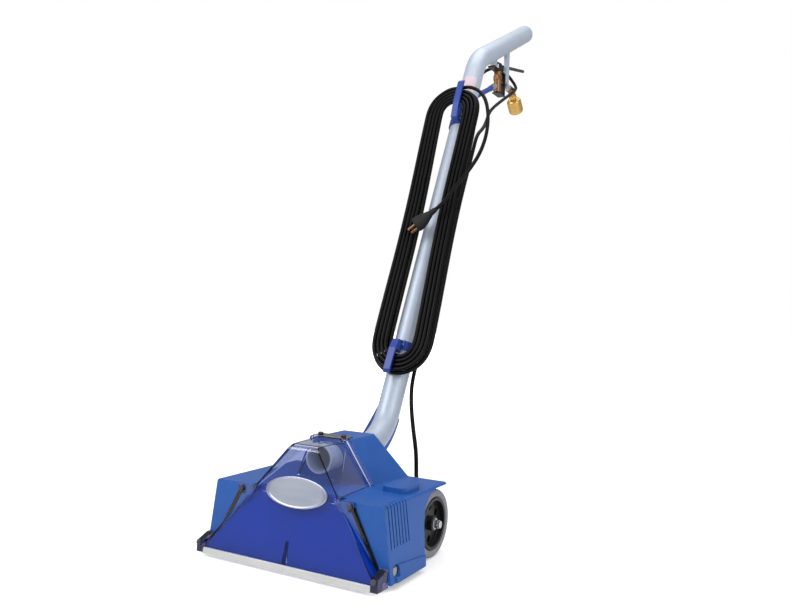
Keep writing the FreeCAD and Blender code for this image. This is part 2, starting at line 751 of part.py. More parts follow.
def brush_bearings():
    start = V(side_plate_x - bearing_width / 2, brush_y, brush_z)
    return pair(ring(bearing_outer, axle_radius + running_gap, start, X_AXIS, bearing_width))


def pulley(y, z, radius, bore):
    start = V(pulley_x - pulley_width / 2, y, z)
    body = ring(radius, bore, start, X_AXIS, pulley_width)
    rim = radius + 1.6
    for x in (pulley_x - pulley_width / 2, pulley_x + pulley_width / 2 - 1.0):
        body = body.fuse(ring(rim, bore, V(x, y, z), X_AXIS, 1.0))
    return body.removeSplitter()


def drive_belt():
    """A flat belt, two straight runs tangent to both pulleys."""
    a = V(0, brush_y, brush_z)
    b = V(0, motor_y, motor_z)
    span = b - a
    reach = span.Length
    along = V(span).normalize()

    def loop(grow):
        ra = brush_pulley_radius + belt_gap + grow
        rb = motor_pulley_radius + belt_gap + grow
        tilt = math.asin((ra - rb) / reach)
        side = V(0, -along.z, along.y)
        up = along * math.sin(tilt) + side * math.cos(tilt)
        down = along * math.sin(tilt) - side * math.cos(tilt)
        p1, p2 = a + up * ra, b + up * rb
        p3, p4 = b + down * rb, a + down * ra
        wire = Part.Wire([Part.LineSegment(p1, p2).toShape(), Part.Arc(p2, b + along * rb, p3).toShape(),
                          Part.LineSegment(p3, p4).toShape(), Part.Arc(p4, a - along * ra, p1).toShape()])
        return Part.Face(wire).extrude(X_AXIS * belt_width)

    belt = loop(belt_thickness).cut(loop(0.0))
    belt.translate(V(pulley_x - belt_width / 2, 0, 0))
    return belt


def motor_body():
    start = V(motor_left_x + end_bell_length, motor_y, motor_z)
    length = motor_right_x - motor_left_x - 2 * end_bell_length
    body = cylinder(motor_radius, start, X_AXIS, length)
    for k in range(9):
        x = motor_left_x + end_bell_length + 20 + k * 14
        body = body.cut(ring(motor_radius + 1, motor_radius - 1.5, V(x, motor_y, motor_z), X_AXIS, 4))
    return body


def motor_bells():
    right = cylinder(motor_radius - 2, V(motor_right_x - end_bell_length, motor_y, motor_z), X_AXIS, end_bell_length)
    rim = [e for e in right.Edges if e.Curve.TypeId == "Part::GeomCircle" and e.Curve.Center.x > motor_right_x - 1]
    right = right.makeFillet(8, rim)
    right = right.cut(cylinder(motor_shaft_radius + running_gap, V(motor_right_x - 30, motor_y, motor_z), X_AXIS, 60))
    left = right.copy().mirror(V((motor_left_x + motor_right_x) / 2, 0, 0), X_AXIS)
    left = left.fuse(cylinder(motor_shaft_radius + 2, V(motor_left_x + 4, motor_y, motor_z), X_AXIS, end_bell_length - 4))
    return Part.makeCompound([right, left])


def motor_shaft():
    start = V(motor_right_x - end_bell_length + 0.5, motor_y, motor_z)
    return cylinder(motor_shaft_radius, start, X_AXIS, pulley_x + pulley_width / 2 + 2 - start.x)


def motor_mount():
    """Two saddles on the frame's floor that hold the motor."""
    top_z = motor_z
    floor_z = frame_bottom_z + plate_thickness
    saddles = []
    for x in (motor_left_x + 30, motor_right_x - 42):
        saddle = side_prism([(floor_front_y + 4, floor_z), (wheel_y - 20, floor_z), (motor_y + 30, top_z - 14),
                             (motor_y - 34, top_z - 14)], x, x + 12)
        saddles.append(saddle.cut(cylinder(motor_radius, V(x - 1, motor_y, motor_z), X_AXIS, 14)))
    return Part.makeCompound(saddles)


# Steel frame
def frame():
    floor_z = frame_bottom_z
    top_z = frame_bottom_z + plate_thickness
    inner = side_plate_x - plate_thickness / 2
    outer = side_plate_x + plate_thickness / 2
    floor_plate = box(-outer, outer, floor_front_y, floor_rear_y, floor_z, top_z)
    tail_plate = box(-wheel_plate_x - 2, wheel_plate_x + 2, floor_rear_y - 1, wheel_plate_rear_y, floor_z, top_z)
    side = side_prism([(side_plate_front_y, floor_z), (side_plate_rear_y, floor_z), (side_plate_rear_y, frame_height - 14),
                       (side_plate_rear_y - 12, frame_height), (side_plate_front_y + 8, frame_height),
                       (side_plate_front_y, frame_height - 10)], inner, outer)
    side = side.cut(cylinder(bearing_outer, V(inner - 1, brush_y, brush_z), X_AXIS, plate_thickness + 2))
    wheel_side = side_prism([(wheel_y - 34, floor_z), (wheel_plate_rear_y, floor_z), (wheel_y + 14, wheel_radius + 14),
                             (wheel_y - 14, wheel_radius + 14)], wheel_plate_x - 2, wheel_plate_x + 2)
    wheel_side = wheel_side.cut(cylinder(axle_bolt_radius, V(wheel_plate_x - 5, wheel_y, wheel_radius), X_AXIS, 10))
    return fuse([floor_plate, tail_plate, side, mirrored(side), wheel_side, mirrored(wheel_side)])


# Wheels
def wheel_hub():
    start = V(wheel_outer_x - wheel_width, wheel_y, wheel_radius)
    rim_radius = wheel_radius - tyre_depth
    hub = ring(rim_radius, rim_radius - 5, start, X_AXIS, wheel_width)
    boss = ring(12.0, hub_bore, start, X_AXIS, wheel_width)
    web = ring(rim_radius - 4, hub_bore, start + X_AXIS * (wheel_width * 0.35), X_AXIS, wheel_width * 0.3)
    whole = fuse([hub, boss, web])
    for k in range(6):
        turn = math.radians(60 * k + 30)
        centre = V(0, wheel_y + 27 * math.cos(turn), wheel_radius + 27 * math.sin(turn))
        whole = whole.cut(cylinder(6.0, centre, X_AXIS, 300))
    return whole


def wheel_tyre():
    start = V(wheel_outer_x - wheel_width, wheel_y, wheel_radius)
    tyre = ring(wheel_radius, wheel_radius - tyre_depth, start, X_AXIS, wheel_width)
    rims = [e for e in tyre.Edges if e.Curve.TypeId == "Part::GeomCircle" and e.Curve.Radius > wheel_radius - 1]
    return tyre.makeFillet(5.0, rims)


def wheel_axles():
    inner = wheel_plate_x - 2
    bolt_end = wheel_outer_x + nut_height + 5.0
    shank = cylinder(axle_bolt_radius, V(inner - 0.5, wheel_y, wheel_radius), X_AXIS, bolt_end - inner + 0.5)
    head = cylinder(10.0, V(inner - 6.5, wheel_y, wheel_radius), X_AXIS, 6.5)
    spacer_start = V(wheel_plate_x + 2, wheel_y, wheel_radius)
    spacer = ring(9.0, axle_bolt_radius - 0.5, spacer_start, X_AXIS, wheel_outer_x - wheel_width - seat_gap - wheel_plate_x - 2)
    return pair(fuse([shank, head, spacer]))


def axle_washers():
    start = V(wheel_outer_x + seat_gap, wheel_y, wheel_radius)
    return pair(ring(washer_radius, axle_bolt_radius, start, X_AXIS, 1.6))


def axle_nuts():
    start = V(wheel_outer_x + seat_gap + 1.6, wheel_y, wheel_radius)
    corners = [start + V(0, nut_radius * math.cos(math.radians(60 * k)), nut_radius * math.sin(math.radians(60 * k)))
               for k in range(6)]
    nut = prism(corners, X_AXIS * nut_height).cut(cylinder(axle_bolt_radius, start - X_AXIS, X_AXIS, nut_height + 2))
    return pair(nut)


# Spray bar and solution line
def spray_bar():
    bar = cylinder(spray_radius, V(-spray_half, spray_y, spray_z), X_AXIS, 2 * spray_half)
    riser = cylinder(spray_radius - 1, V(line_x, spray_y, spray_z), Z_AXIS, line_z - spray_z + 4)
    barb = cylinder(line_radius, V(line_x, spray_y, line_z), Y_AXIS, 16)
    low_z = frame_bottom_z + plate_thickness
    feet = []
    for x in (-spray_half + 14, spray_half - 23):
        feet.append(box(x, x + 9, spray_y - 3, floor_front_y - 4, low_z, spray_z - 2))
        feet.append(box(x, x + 9, spray_y - 3, floor_front_y + 14, low_z, low_z + 6))
    return fuse([bar, riser, barb] + feet)


def spray_nozzles():
    nozzles = []
    for x in (-nozzle_x, nozzle_x):
        top = V(x, spray_y, spray_z - spray_radius + 0.3)
        body = cylinder(5.0, top, Z_AXIS * -1, nozzle_length)
        tip = Part.makeCone(5.0, 2.5, 5.0, top - Z_AXIS * nozzle_length, Z_AXIS * -1)
        nozzles.append(body.fuse(tip))
    cut_bar = cylinder(spray_radius, V(-spray_half, spray_y, spray_z), X_AXIS, 2 * spray_half)
    return Part.makeCompound([n.cut(cut_bar) for n in nozzles])


def solution_line():
    """The inner line from the rear fitting to the spray bar."""
    start_y = spray_y + 16
    return cylinder(line_radius, V(line_x, start_y, line_z), Y_AXIS, cover_rear_y - 14 - start_y)


def hose_fitting():
    start = V(line_x, cover_rear_y - 14, line_z)
    stem = cylinder(hose_radius + 1.0, start, Y_AXIS, 14 + 12)
    collar = cylinder(hose_radius + 4.0, V(line_x, cover_rear_y, line_z), Y_AXIS, 6)
    nut = cylinder(hose_radius + 4.0, V(line_x, cover_rear_y - cover_wall, line_z), Y_AXIS * -1, 5)
    return fuse([stem, collar, nut])


outlet_axis = V(0, 0.9, 0.436).normalize()
outlet_point = V(0, valve_y - valve_radius + 1.0, valve_bottom_z + 14.0)
ferrule_start = outlet_point - outlet_axis * 38.0
hose_points = [
    V(line_x, cover_rear_y + 12, line_z), V(line_x, cover_rear_y + 45, line_z), V(-95, 318, 84),
    V(-76, 341, 142), V(-45, 356, 206), V(-24, 376, 268),
    tube_point(60, -24.5, -17), tube_point(180, -25.5, -16), tube_point(310, -24.5, -17),
    tube_point(450, -25.5, -16), tube_point(590, -25, -17), tube_point(690, -28, -13),
    V(-6, 700, 922), ferrule_start - outlet_axis * 36, ferrule_start,
]


def solution_hose():
    return route_tube(hose_points, hose_radius, "solution_hose")


def outlet_ferrule():
    """The crimped sleeve from the hose's end to the valve's outlet."""
    sleeve = cylinder(ferrule_radius, ferrule_start, outlet_axis, ferrule_length)
    sleeve = sleeve.fuse(cylinder(4.5, ferrule_start, outlet_axis, (outlet_point - ferrule_start).Length))
    return sleeve.cut(cylinder(valve_radius, V(0, valve_y, valve_bottom_z - 10), Z_AXIS, 90))


def hose_clips():
    """Saddle clips on the back of the tube that hold the hose, each with its rivet."""
    clips = []
    hose = sweep_circle(route_edges(hose_points, "clip bore"), hose_radius + 0.1, hose_points[0], Y_AXIS)
    for s in (180.0, 450.0):
        centre = tube_point(s - clip_width / 2, -25.5, -16)
        loop = cylinder(hose_radius + 2.0, centre, lean_dir, clip_width)
        foot = prism([tube_point(s - clip_width / 2, -tube_radius + 2, -13), tube_point(s - clip_width / 2, -tube_radius - 2.2, -13),
                      tube_point(s - clip_width / 2, -tube_radius - 2.2, 9), tube_point(s - clip_width / 2, -tube_radius + 2, 9)],
                     lean_dir * clip_width)
        body = loop.fuse(foot)
        rivet = cylinder(2.4, tube_point(s, -tube_radius + 1.0, 4), front_dir * -1, 5.0)
        clips.append(fuse([body, rivet]).cut(tube_bar(tube_radius)).cut(hose))
    return Part.makeCompound(clips)


# Suction tube and what it carries
def tube_pieces():
    """The tube in four lengths that meet face to face: elbow, leaning length, upper bend and grip."""
    edges = tube_edges(0.0, 0.0)
    pieces = []
    for first, last in ((0, 2), (2, 3), (3, 4), (4, 5)):
        run = edges[first:last]
        start = run[0].valueAt(run[0].FirstParameter)
        heading = run[0].tangentAt(run[0].FirstParameter)
        outside = sweep_circle(run, tube_radius, start, heading)
        pieces.append(outside.cut(sweep_circle(run, tube_radius - tube_wall, start, heading)))
    return pieces


def mouth_ring():
    start = V(0, mouth_y, mouth_z)
    return ring(tube_radius + mouth_ring_thickness, tube_radius, start, Y_AXIS, mouth_ring_width)


def tube_saddle():
    """The curved gusset under the elbow, behind the hump."""
    elbow_turn = math.pi / 2 - lean
    foot_t = (mouth_z - lean_foot.z) / lean_dir.z
    foot_corner = lean_foot + lean_dir * foot_t
    a = foot_corner - Y_AXIS * (elbow_radius * math.tan(elbow_turn / 2))
    centre = a + Z_AXIS * elbow_radius
    inner = elbow_radius + tube_radius
    outer = inner + saddle_depth
    band = ring(outer, inner, V(-saddle_half, centre.y, centre.z), X_AXIS, 2 * saddle_half)
    wedge = prism([V(-50, centre.y, centre.z), V(-50, centre.y, centre.z - 300),
                   centre + V(-50, 300 * math.sin(elbow_turn * 0.97), -300 * math.cos(elbow_turn * 0.97))], V(100, 0, 0))
    foot = side_prism([(cover_rear_y - 22, deck_z + 18), (cover_rear_y - 4, deck_z + 18), (cover_rear_y + 26, deck_z + 42),
                       (cover_rear_y + 10, deck_z + 50)], -saddle_half - 8, saddle_half + 8)
    body = band.common(wedge).fuse(foot.cut(cylinder(inner, V(-60, centre.y, centre.z), X_AXIS, 120)))
    body = body.cut(tube_bar(tube_radius))
    return body.cut(hump_solid(0.0, deck_z - 20)).removeSplitter()


def hook(ring_s, web_s, tip_s):
    """A cord hook: a clamp round the tube, a web in front of it and a flat finger."""
    side = 1.0 if tip_s > ring_s else -1.0
    start = tube_point(ring_s - hook_clamp_width / 2, 0)
    clamp = ring(tube_radius + hook_clamp_wall, tube_radius, start, lean_dir, hook_clamp_width)
    finger_n = hank_rear_n + strand_pitch + cord_radius + 1.2
    low = ring_s - side * hook_clamp_width / 2

    def block(points, half):
        return prism([tube_point(s, n, -half) for s, n in points], V(2 * half, 0, 0))

    web = block([(low, tube_radius + 1), (low + side * 4, finger_n), (web_s, finger_n + 1), (web_s, tube_radius + 1)],
                hook_web_half)
    finger = block([(low + side * 4, finger_n), (web_s, finger_n + hook_finger_thickness + 1.5),
                    (tip_s - side * 6, finger_n + hook_finger_thickness + 3.0), (tip_s, finger_n + hook_finger_thickness),
                    (tip_s, finger_n + 2.0), (web_s, finger_n)], hook_web_half)
    wings = block([(low, tube_radius - 6), (low, tube_radius + 4), (ring_s + side * hook_clamp_width / 2, tube_radius + 4),
                   (ring_s + side * hook_clamp_width / 2, tube_radius - 6)], hook_web_half + 5)
    body = fuse([clamp, web, finger, wings.cut(cylinder(tube_radius, start - lean_dir * 5, lean_dir, hook_clamp_width + 10))])
    hose_way = cylinder(hose_radius + 0.8, tube_point(ring_s - 30, -25.2, -17), lean_dir, 60)
    body = body.cut(hose_way)
    return body.cut(cylinder(tube_radius, start - lean_dir * 5, lean_dir, hook_clamp_width + 10))


def hook_screws():
    screws = []
    for s in (upper_hook_s, lower_hook_s):
        for x in (-1, 1):
            seat = tube_point(s, tube_radius + 4, x * (hook_web_half + 2.6))
            screws.append(cylinder(2.0, seat, front_dir, 1.6))
    return Part.makeCompound(screws)


# Valve and trigger
def tube_under_z(y):
    """Height of the grip's underside at y, past the upper bend."""
    t = (y - grip_corner.y) / grip_dir.y
    return grip_corner.z + grip_dir.z * t - tube_radius / grip_dir.y


def valve_tab():
    """The plate under the bend that carries the valve's frame."""
    low_z = valve_top_z + frame_plate
    outline = [(tab_front_y - 4, low_z + 9), (tab_front_y + 8, low_z), (tab_rear_y, low_z),
               (tab_rear_y, tube_under_z(tab_rear_y) + 12), (tab_front_y - 4, tube_under_z(tab_front_y) + 18)]
    plate = side_prism(outline, -tab_thickness / 2, tab_thickness / 2)
    return plate.cut(tube_bar(tube_radius))


def rear_strut():
    """A flat bar from the grip's underside to an eye round the inlet pipe."""
    top_z = tube_under_z(strut_y) + 14
    front_y = strut_y - strut_width / 2
    bar = box(-strut_thickness / 2, strut_thickness / 2, front_y, front_y + strut_width, pipe_z, top_z)
    eye = cylinder(pipe_radius + 4.0, V(0, front_y, pipe_z), Y_AXIS, strut_width)
    bar = bar.fuse(eye).cut(cylinder(pipe_radius, V(0, front_y - 5, pipe_z), Y_AXIS, strut_width + 10))
    return bar.cut(tube_bar(tube_radius)).removeSplitter()


def valve_frame():
    """The black yoke round the valve: top, rear and bottom plates with two ears for the pin."""
    y0 = tab_front_y + 8
    y1 = trigger_pivot_y + 6
    half = 9.0
    top = box(-half, half, y0, y1, valve_top_z, valve_top_z + frame_plate)
    rear = box(-half, half, y1 - frame_plate, y1, valve_bottom_z - frame_plate, valve_top_z + frame_plate)
    bottom = box(-half, half, valve_y - 10, y1, valve_bottom_z - frame_plate - 2, valve_bottom_z - 2)
    ears = [box(x, x + 2.5, trigger_pivot_y - 5, trigger_pivot_y + 5, valve_top_z, trigger_pivot_z + 4.5)
            for x in (-12.5, -6.0 + trigger_thickness / 2 + 1.0)]
    frame_shape = fuse([top, rear, bottom] + ears + [box(-12.5, -8.5, trigger_pivot_y - 5, trigger_pivot_y + 5,
                                                        valve_top_z, valve_top_z + frame_plate)])
    frame_shape = frame_shape.cut(cylinder(stem_bore + 0.3, V(0, valve_y, valve_top_z - 5), Z_AXIS, 20))
    frame_shape = frame_shape.cut(cylinder(pipe_radius, V(0, valve_y, pipe_z), Y_AXIS, 60))
    frame_shape = frame_shape.cut(cylinder(trigger_pin_radius, V(-20, trigger_pivot_y, trigger_pivot_z), X_AXIS, 40))
    return frame_shape


def valve_body():
    start = V(0, valve_y, valve_bottom_z)
    body = cylinder(valve_radius, start, Z_AXIS, valve_top_z - valve_bottom_z)
    belt_z = valve_bottom_z + 30
    corners = [V((valve_radius + 2.5) * math.cos(math.radians(60 * k)), valve_y + (valve_radius + 2.5) * math.sin(math.radians(60 * k)),
                 belt_z) for k in range(6)]
    body = body.fuse(prism(corners, Z_AXIS * 10))
    foot = cylinder(valve_radius - 3, V(0, valve_y, valve_bottom_z - 2), Z_AXIS, 4)
    body = body.fuse(foot)
    bore = cylinder(stem_bore, V(0, valve_y, valve_top_z - stem_length), Z_AXIS, stem_length + 5)
    body = body.cut(bore)
    pipe = cylinder(pipe_radius, V(0, valve_y + valve_radius - 2, pipe_z), Y_AXIS, strut_y + 16 - valve_y - valve_radius + 2)
    return body.fuse(pipe).removeSplitter()


def stem_top_z():
    return trigger_pivot_z - trigger_width / 2 - 0.3


def valve_stem():
    low = valve_top_z - stem_length + 8.0
    return cylinder(stem_radius, V(0, valve_y, low), Z_AXIS, stem_top_z() - low)


def trigger_lever():
    """The finger lever: a flat bar from above the stem, past the strut, to a turned-up tip."""
    x0 = -6.0 - trigger_thickness / 2
    x1 = x0 + trigger_thickness
    half = trigger_width / 2
    low = trigger_pivot_z - half
    high = trigger_pivot_z + half
    front_y = valve_y - 5
    bar = side_prism([(front_y, low), (trigger_pivot_y + 8, low), (trigger_tip_y - 6, low + trigger_rise),
                      (trigger_tip_y, low + trigger_rise + 6), (trigger_tip_y - 8, low + trigger_rise + 7),
                      (trigger_pivot_y + 8, high), (front_y, high)], x0, x1)
    pad = box(x0, stem_radius + 1, front_y, valve_y + 5, low, low + 3)
    lever = bar.fuse(pad)
    lever = lever.cut(cylinder(trigger_pin_radius + running_gap, V(-20, trigger_pivot_y, trigger_pivot_z), X_AXIS, 40))
    return lever.removeSplitter()


def trigger_pin():
    start = V(-14.0, trigger_pivot_y, trigger_pivot_z)
    pin = cylinder(trigger_pin_radius, start, X_AXIS, 12.0)
    return pin.fuse(cylinder(trigger_pin_radius + 1.4, start, X_AXIS, 1.5))


quick_dir = V(0, math.cos(math.radians(quick_deg)), math.sin(math.radians(quick_deg)))
quick_start = V(0, strut_y + 38, pipe_z)
quick_lug = quick_neck_radius + 2.5


def inlet_elbow():
    """The brass elbow behind the strut that turns the inlet down to the connector."""
    block = cylinder(quick_neck_radius + 1.5, V(0, strut_y + 13, pipe_z), Y_AXIS, quick_start.y - strut_y - 13)
    ball = Part.makeSphere(quick_neck_radius + 1.5, quick_start)
    lug = cylinder(quick_neck_radius + 1.5, quick_start, quick_dir, quick_lug)
    return fuse([block, ball, lug]).cut(cylinder(pipe_radius, V(0, strut_y, pipe_z), Y_AXIS, 16))


def quick_connect_body():
    start = quick_start + quick_dir * quick_lug
    neck = cylinder(quick_neck_radius, start, quick_dir, quick_neck_length + quick_sleeve_length + 2)
    collar = cylinder(quick_neck_radius + 2.5, start + quick_dir * 3, quick_dir, 6)
    body = neck.fuse(collar)
    return body.cut(cylinder(quick_bore, start + quick_dir * (quick_neck_length + 4), quick_dir, 60)).removeSplitter()


def quick_connect_sleeve():
    start = quick_start + quick_dir * (quick_lug + quick_neck_length)
    sleeve_length = quick_sleeve_length - quick_travel + 5
    sleeve = cylinder(quick_sleeve_radius, start, quick_dir, sleeve_length)
    rims = [e for e in sleeve.Edges if e.Curve.TypeId == "Part::GeomCircle"]
    sleeve = sleeve.makeFillet(8.0, rims)
    room = sleeve_length - 2 * quick_end_wall
    sleeve = sleeve.cut(cylinder(quick_chamber_radius, start + quick_dir * quick_end_wall, quick_dir, room))
    for k in range(4):
        groove = ring(quick_sleeve_radius + 1, quick_sleeve_radius - 0.7, start + quick_dir * (11 + 5 * k), quick_dir, 1.2)
        sleeve = sleeve.cut(groove)
    return sleeve.cut(cylinder(quick_neck_radius + running_gap, start - quick_dir * 5, quick_dir, 60))


# Mains cord
def hank_point(w, s, n):
    """A point of the hank: w to the right of the hank's leaning middle line."""
    return tube_point(s, n, w - hank_skew * (s - (hank_top_s + hank_bottom_s) / 2))


def biarc(p0, t0, p1, t1):
    """Two arcs in space from p0 to p1 with the given end directions."""
    chord = p1 - p0
    t = t0 + t1
    a = 2 * (1 - t0.dot(t1))
    b = 2 * chord.dot(t)
    c = -chord.dot(chord)
    if abs(a) < 1e-6:
        d = -c / b
    else:
        d = (-b + math.sqrt(b * b - 4 * a * c)) / (2 * a)
    joint = (p0 + t0 * d + p1 - t1 * d) * 0.5
    return [arc_from(p0, t0, joint), arc_from(joint, None, p1, t1)]


def arc_from(p0, t0, p1, t1=None):
    """An arc from p0 to p1, tangent to t0 at p0 or to t1 at p1."""
    chord = p1 - p0
    if t0 is None:
        tangent = t1
        flat = chord - tangent * chord.dot(tangent)
        if flat.Length < 1e-6 * chord.Length:
            return Part.LineSegment(p0, p1).toShape()
        half = chord.getAngle(tangent)
        u = V(chord).normalize()
        bulge = (u * u.dot(tangent) - tangent).normalize()
    else:
        tangent = t0
        flat = chord - tangent * chord.dot(tangent)
        if flat.Length < 1e-6 * chord.Length:
            return Part.LineSegment(p0, p1).toShape()
        half = chord.getAngle(tangent)
        u = V(chord).normalize()
        bulge = (tangent - u * u.dot(tangent)).normalize()
    height = chord.Length / 2 * math.tan(half / 2)
    middle = (p0 + p1) * 0.5 + bulge * height
    return Part.Arc(p0, middle, p1).toShape()


def hank_stations():
    """Key points with directions, eight to a turn: three on each run and one at each end's middle.

    The spiral comes in on the rear layer, climbs along the left run where it turns, and goes out in front.
    """
    down = lean_dir * -1
    left = X_AXIS * -1
    waist_s = (hank_top_s + hank_bottom_s) / 2
    stations = []
    for k in range(hank_eighths + 1):
        turn = abs(k - hank_reverse) / 8.0
        w = hank_inner_half + strand_pitch * turn
        n = hank_rear_n + strand_pitch * min(max((k - hank_reverse + 1) / 2.0, 0.0), 1.0)
        place = k % 8
        if place == 0:
            stations.append((hank_point(w, hank_start_s if k == 0 else hank_top_s, n), down))
        elif place == 1:
            stations.append((hank_point(w - hank_waist, waist_s, n), down))
        elif place == 2:
            stations.append((hank_point(w, hank_bottom_s, n), down))
        elif place == 3:
            stations.append((hank_point(0, hank_bottom_s - w, n), left))
        elif place == 4:
            stations.append((hank_point(-w, hank_bottom_s, n), lean_dir))
        elif place == 5:
            stations.append((hank_point(-w + hank_waist, waist_s, n), lean_dir))
        elif place == 6:
            stations.append((hank_point(-w, hank_top_s, n), lean_dir))
        else:
            stations.append((hank_point(0, hank_top_s + w, n), X_AXIS))
    return stations


def hank_edges():
    stations = hank_stations()
    start, heading = stations[0]
    end, end_heading = stations[-1]
    straight = 2 * cord_radius
    edges = [Part.LineSegment(start - heading * straight, start).toShape()]
    for k in range(len(stations) - 1):
        edges += biarc(stations[k][0], stations[k][1], stations[k + 1][0], stations[k + 1][1])
    edges.append(Part.LineSegment(end, end + end_heading * straight).toShape())
    return edges


def hank_ends():
    stations = hank_stations()
    straight = 2 * cord_radius
    return (stations[0][0] - stations[0][1] * straight, stations[0][1],
            stations[-1][0] + stations[-1][1] * straight, stations[-1][1])


def least_gap(edges, radius):
    """Least gap of a wound tube to itself, measured on points about 8 mm apart."""
    points = []
    travelled = 0.0
    for e in edges:
        count = max(2, int(e.Length / 8.0) + 1)
        for k in range(count):
            p = e.valueAt(e.FirstParameter + (e.LastParameter - e.FirstParameter) * k / count)
            points.append((travelled + e.Length * k / count, p))
        travelled += e.Length
    cells = {}
    size = 16.0
    for along, p in points:
        cells.setdefault((int(p.x // size), int(p.y // size), int(p.z // size)), []).append((along, p))
    least = 1e9
    for (i, j, k), members in cells.items():
        near = []
        for a in (-1, 0, 1):
            for b in (-1, 0, 1):
                for c in (-1, 0, 1):
                    near += cells.get((i + a, j + b, k + c), [])
        for along, p in members:
            for other, q in near:
                if abs(other - along) > 60.0:
                    least = min(least, (p - q).Length)
    return least - 2 * radius


def power_cord_hank():
    edges = hank_edges()
    start, heading, _, _ = hank_ends()
    solid = sweep_circle(edges, cord_radius, start, heading)
    length = sum(e.Length for e in edges)
    print("   hank length %.0f, volume %.0f, section x length %.0f, least gap %.2f"
          % (length, solid.Volume, math.pi * cord_radius ** 2 * length, least_gap(edges, cord_radius)))
    return solid


def riser_points():
    start, heading, _, _ = hank_ends()
    gland_tip = V(gland_x, cover_rear_y + gland_length, gland_z)
    return [gland_tip, gland_tip + V(0, 27, 0), V(66, 318, 108), V(62, 322, 150), V(50, 329, 192), V(37, 342, 236),
            V(29, 358, 280), tube_point(90, -10, 31), tube_point(190, -14, 29), tube_point(300, -13, 30),
            tube_point(410, -15, 28.5), tube_point(520, -16, 28), tube_point(620, -24, 22), tube_point(700, -28, 6),
            tube_point(762, -37, -8), V(-15, 752, 993), V(-19.5, 815, 1023), V(-20, 868, 1041), V(-16, 905, 1041), V(2, 934, 1013),
            V(17, 903, 989), V(18, 815, 943), V(24, 712, 888), tube_point(640, -32, 44),
            tube_point(590, 2, 58), start - heading * 40, start]


def power_cord_riser():
    return route_tube(riser_points(), cord_radius, "power_cord_riser")


def plug_frame():
    """Middle of the plug's face and its direction from the face to the cord."""
    face = tube_point(313, 50.5, -16)
    direction = (X_AXIS * 0.74 + lean_dir * 0.66 + front_dir * 0.10).normalize()
    return face, direction


def plug_body():
    face, direction = plug_frame()
    across = direction.cross(front_dir).normalize()
    up = across.cross(direction).normalize()

    def oval(t, half_a, half_b):
        centre = face + direction * t
        return Part.Wire([Part.Ellipse(centre + across * half_a, centre + up * half_b, centre).toShape()])

    body = Part.makeLoft([oval(0, plug_face_half, plug_depth_half), oval(5, plug_face_half + 1.5, plug_depth_half + 1),
                          oval(plug_length * 0.6, plug_face_half - 2.5, plug_depth_half - 0.5),
                          oval(plug_length, plug_neck_radius + 2, plug_neck_radius + 1.2)], True, False)
    neck = Part.makeCone(plug_neck_radius + 0.8, plug_neck_radius - 0.6, 16, face + direction * (plug_length - 0.5), direction)
    return body.fuse(neck)


def plug_cord_start():
    face, direction = plug_frame()
    return face + direction * (plug_length - 0.5 + 16), direction


def plug_blades():
    face, direction = plug_frame()
    across = direction.cross(front_dir).normalize()
    up = across.cross(direction).normalize()
    blades = []
    for side in (-1, 1):
        corner = face + across * (side * 6.35 - 0.75) - up * 5.2
        blades.append(prism([corner, corner + across * 1.5, corner + across * 1.5 + up * 6.4, corner + up * 6.4],
                            direction * -15.5))
    blades.append(cylinder(2.4, face + up * 5.0, direction * -1, 17.0))
    return Part.makeCompound(blades)


def tail_points():
    _, _, end, heading = hank_ends()
    start, direction = plug_cord_start()
    front = hank_rear_n + strand_pitch
    return [end, end + heading * 26, tube_point(658, front, 56), tube_point(614, front - 2, 76),
            tube_point(555, front - 3, 86), tube_point(495, front + 2, 84), tube_point(440, front + 13, 71),
            tube_point(396, front + 20, 52), start + direction * 26, start]


def power_cord_tail():
    return route_tube(tail_points(), cord_radius, "power_cord_tail")


def cord_gland():
    """Moulded relief on the rear wall, tapering round the cord."""
    start = V(gland_x, cover_rear_y, gland_z)
    collar = cylinder(gland_radius, start, Y_AXIS, 5)
    taper = Part.makeCone(gland_radius - 1.5, cord_radius + 1.4, gland_length - 5, start + Y_AXIS * 5, Y_AXIS)
    stem = cylinder(gland_radius * 0.6, start - Y_AXIS * (cover_wall + 6), Y_AXIS, cover_wall + 6)
    nut = cylinder(gland_radius, start - Y_AXIS * cover_wall, Y_AXIS * -1, 4)
    return fuse([collar, taper, stem, nut])


def shoe_bolts():
    seats = cover_bolts_seats()
    bolts = [bolt(seats["deck"], Y_AXIS * -1), bolt(seats["ear"], Y_AXIS * -1, 14.0), bolt(seats["top"], Z_AXIS, 12.0)]
    return Part.makeCompound(bolts + [mirrored(b) for b in bolts])


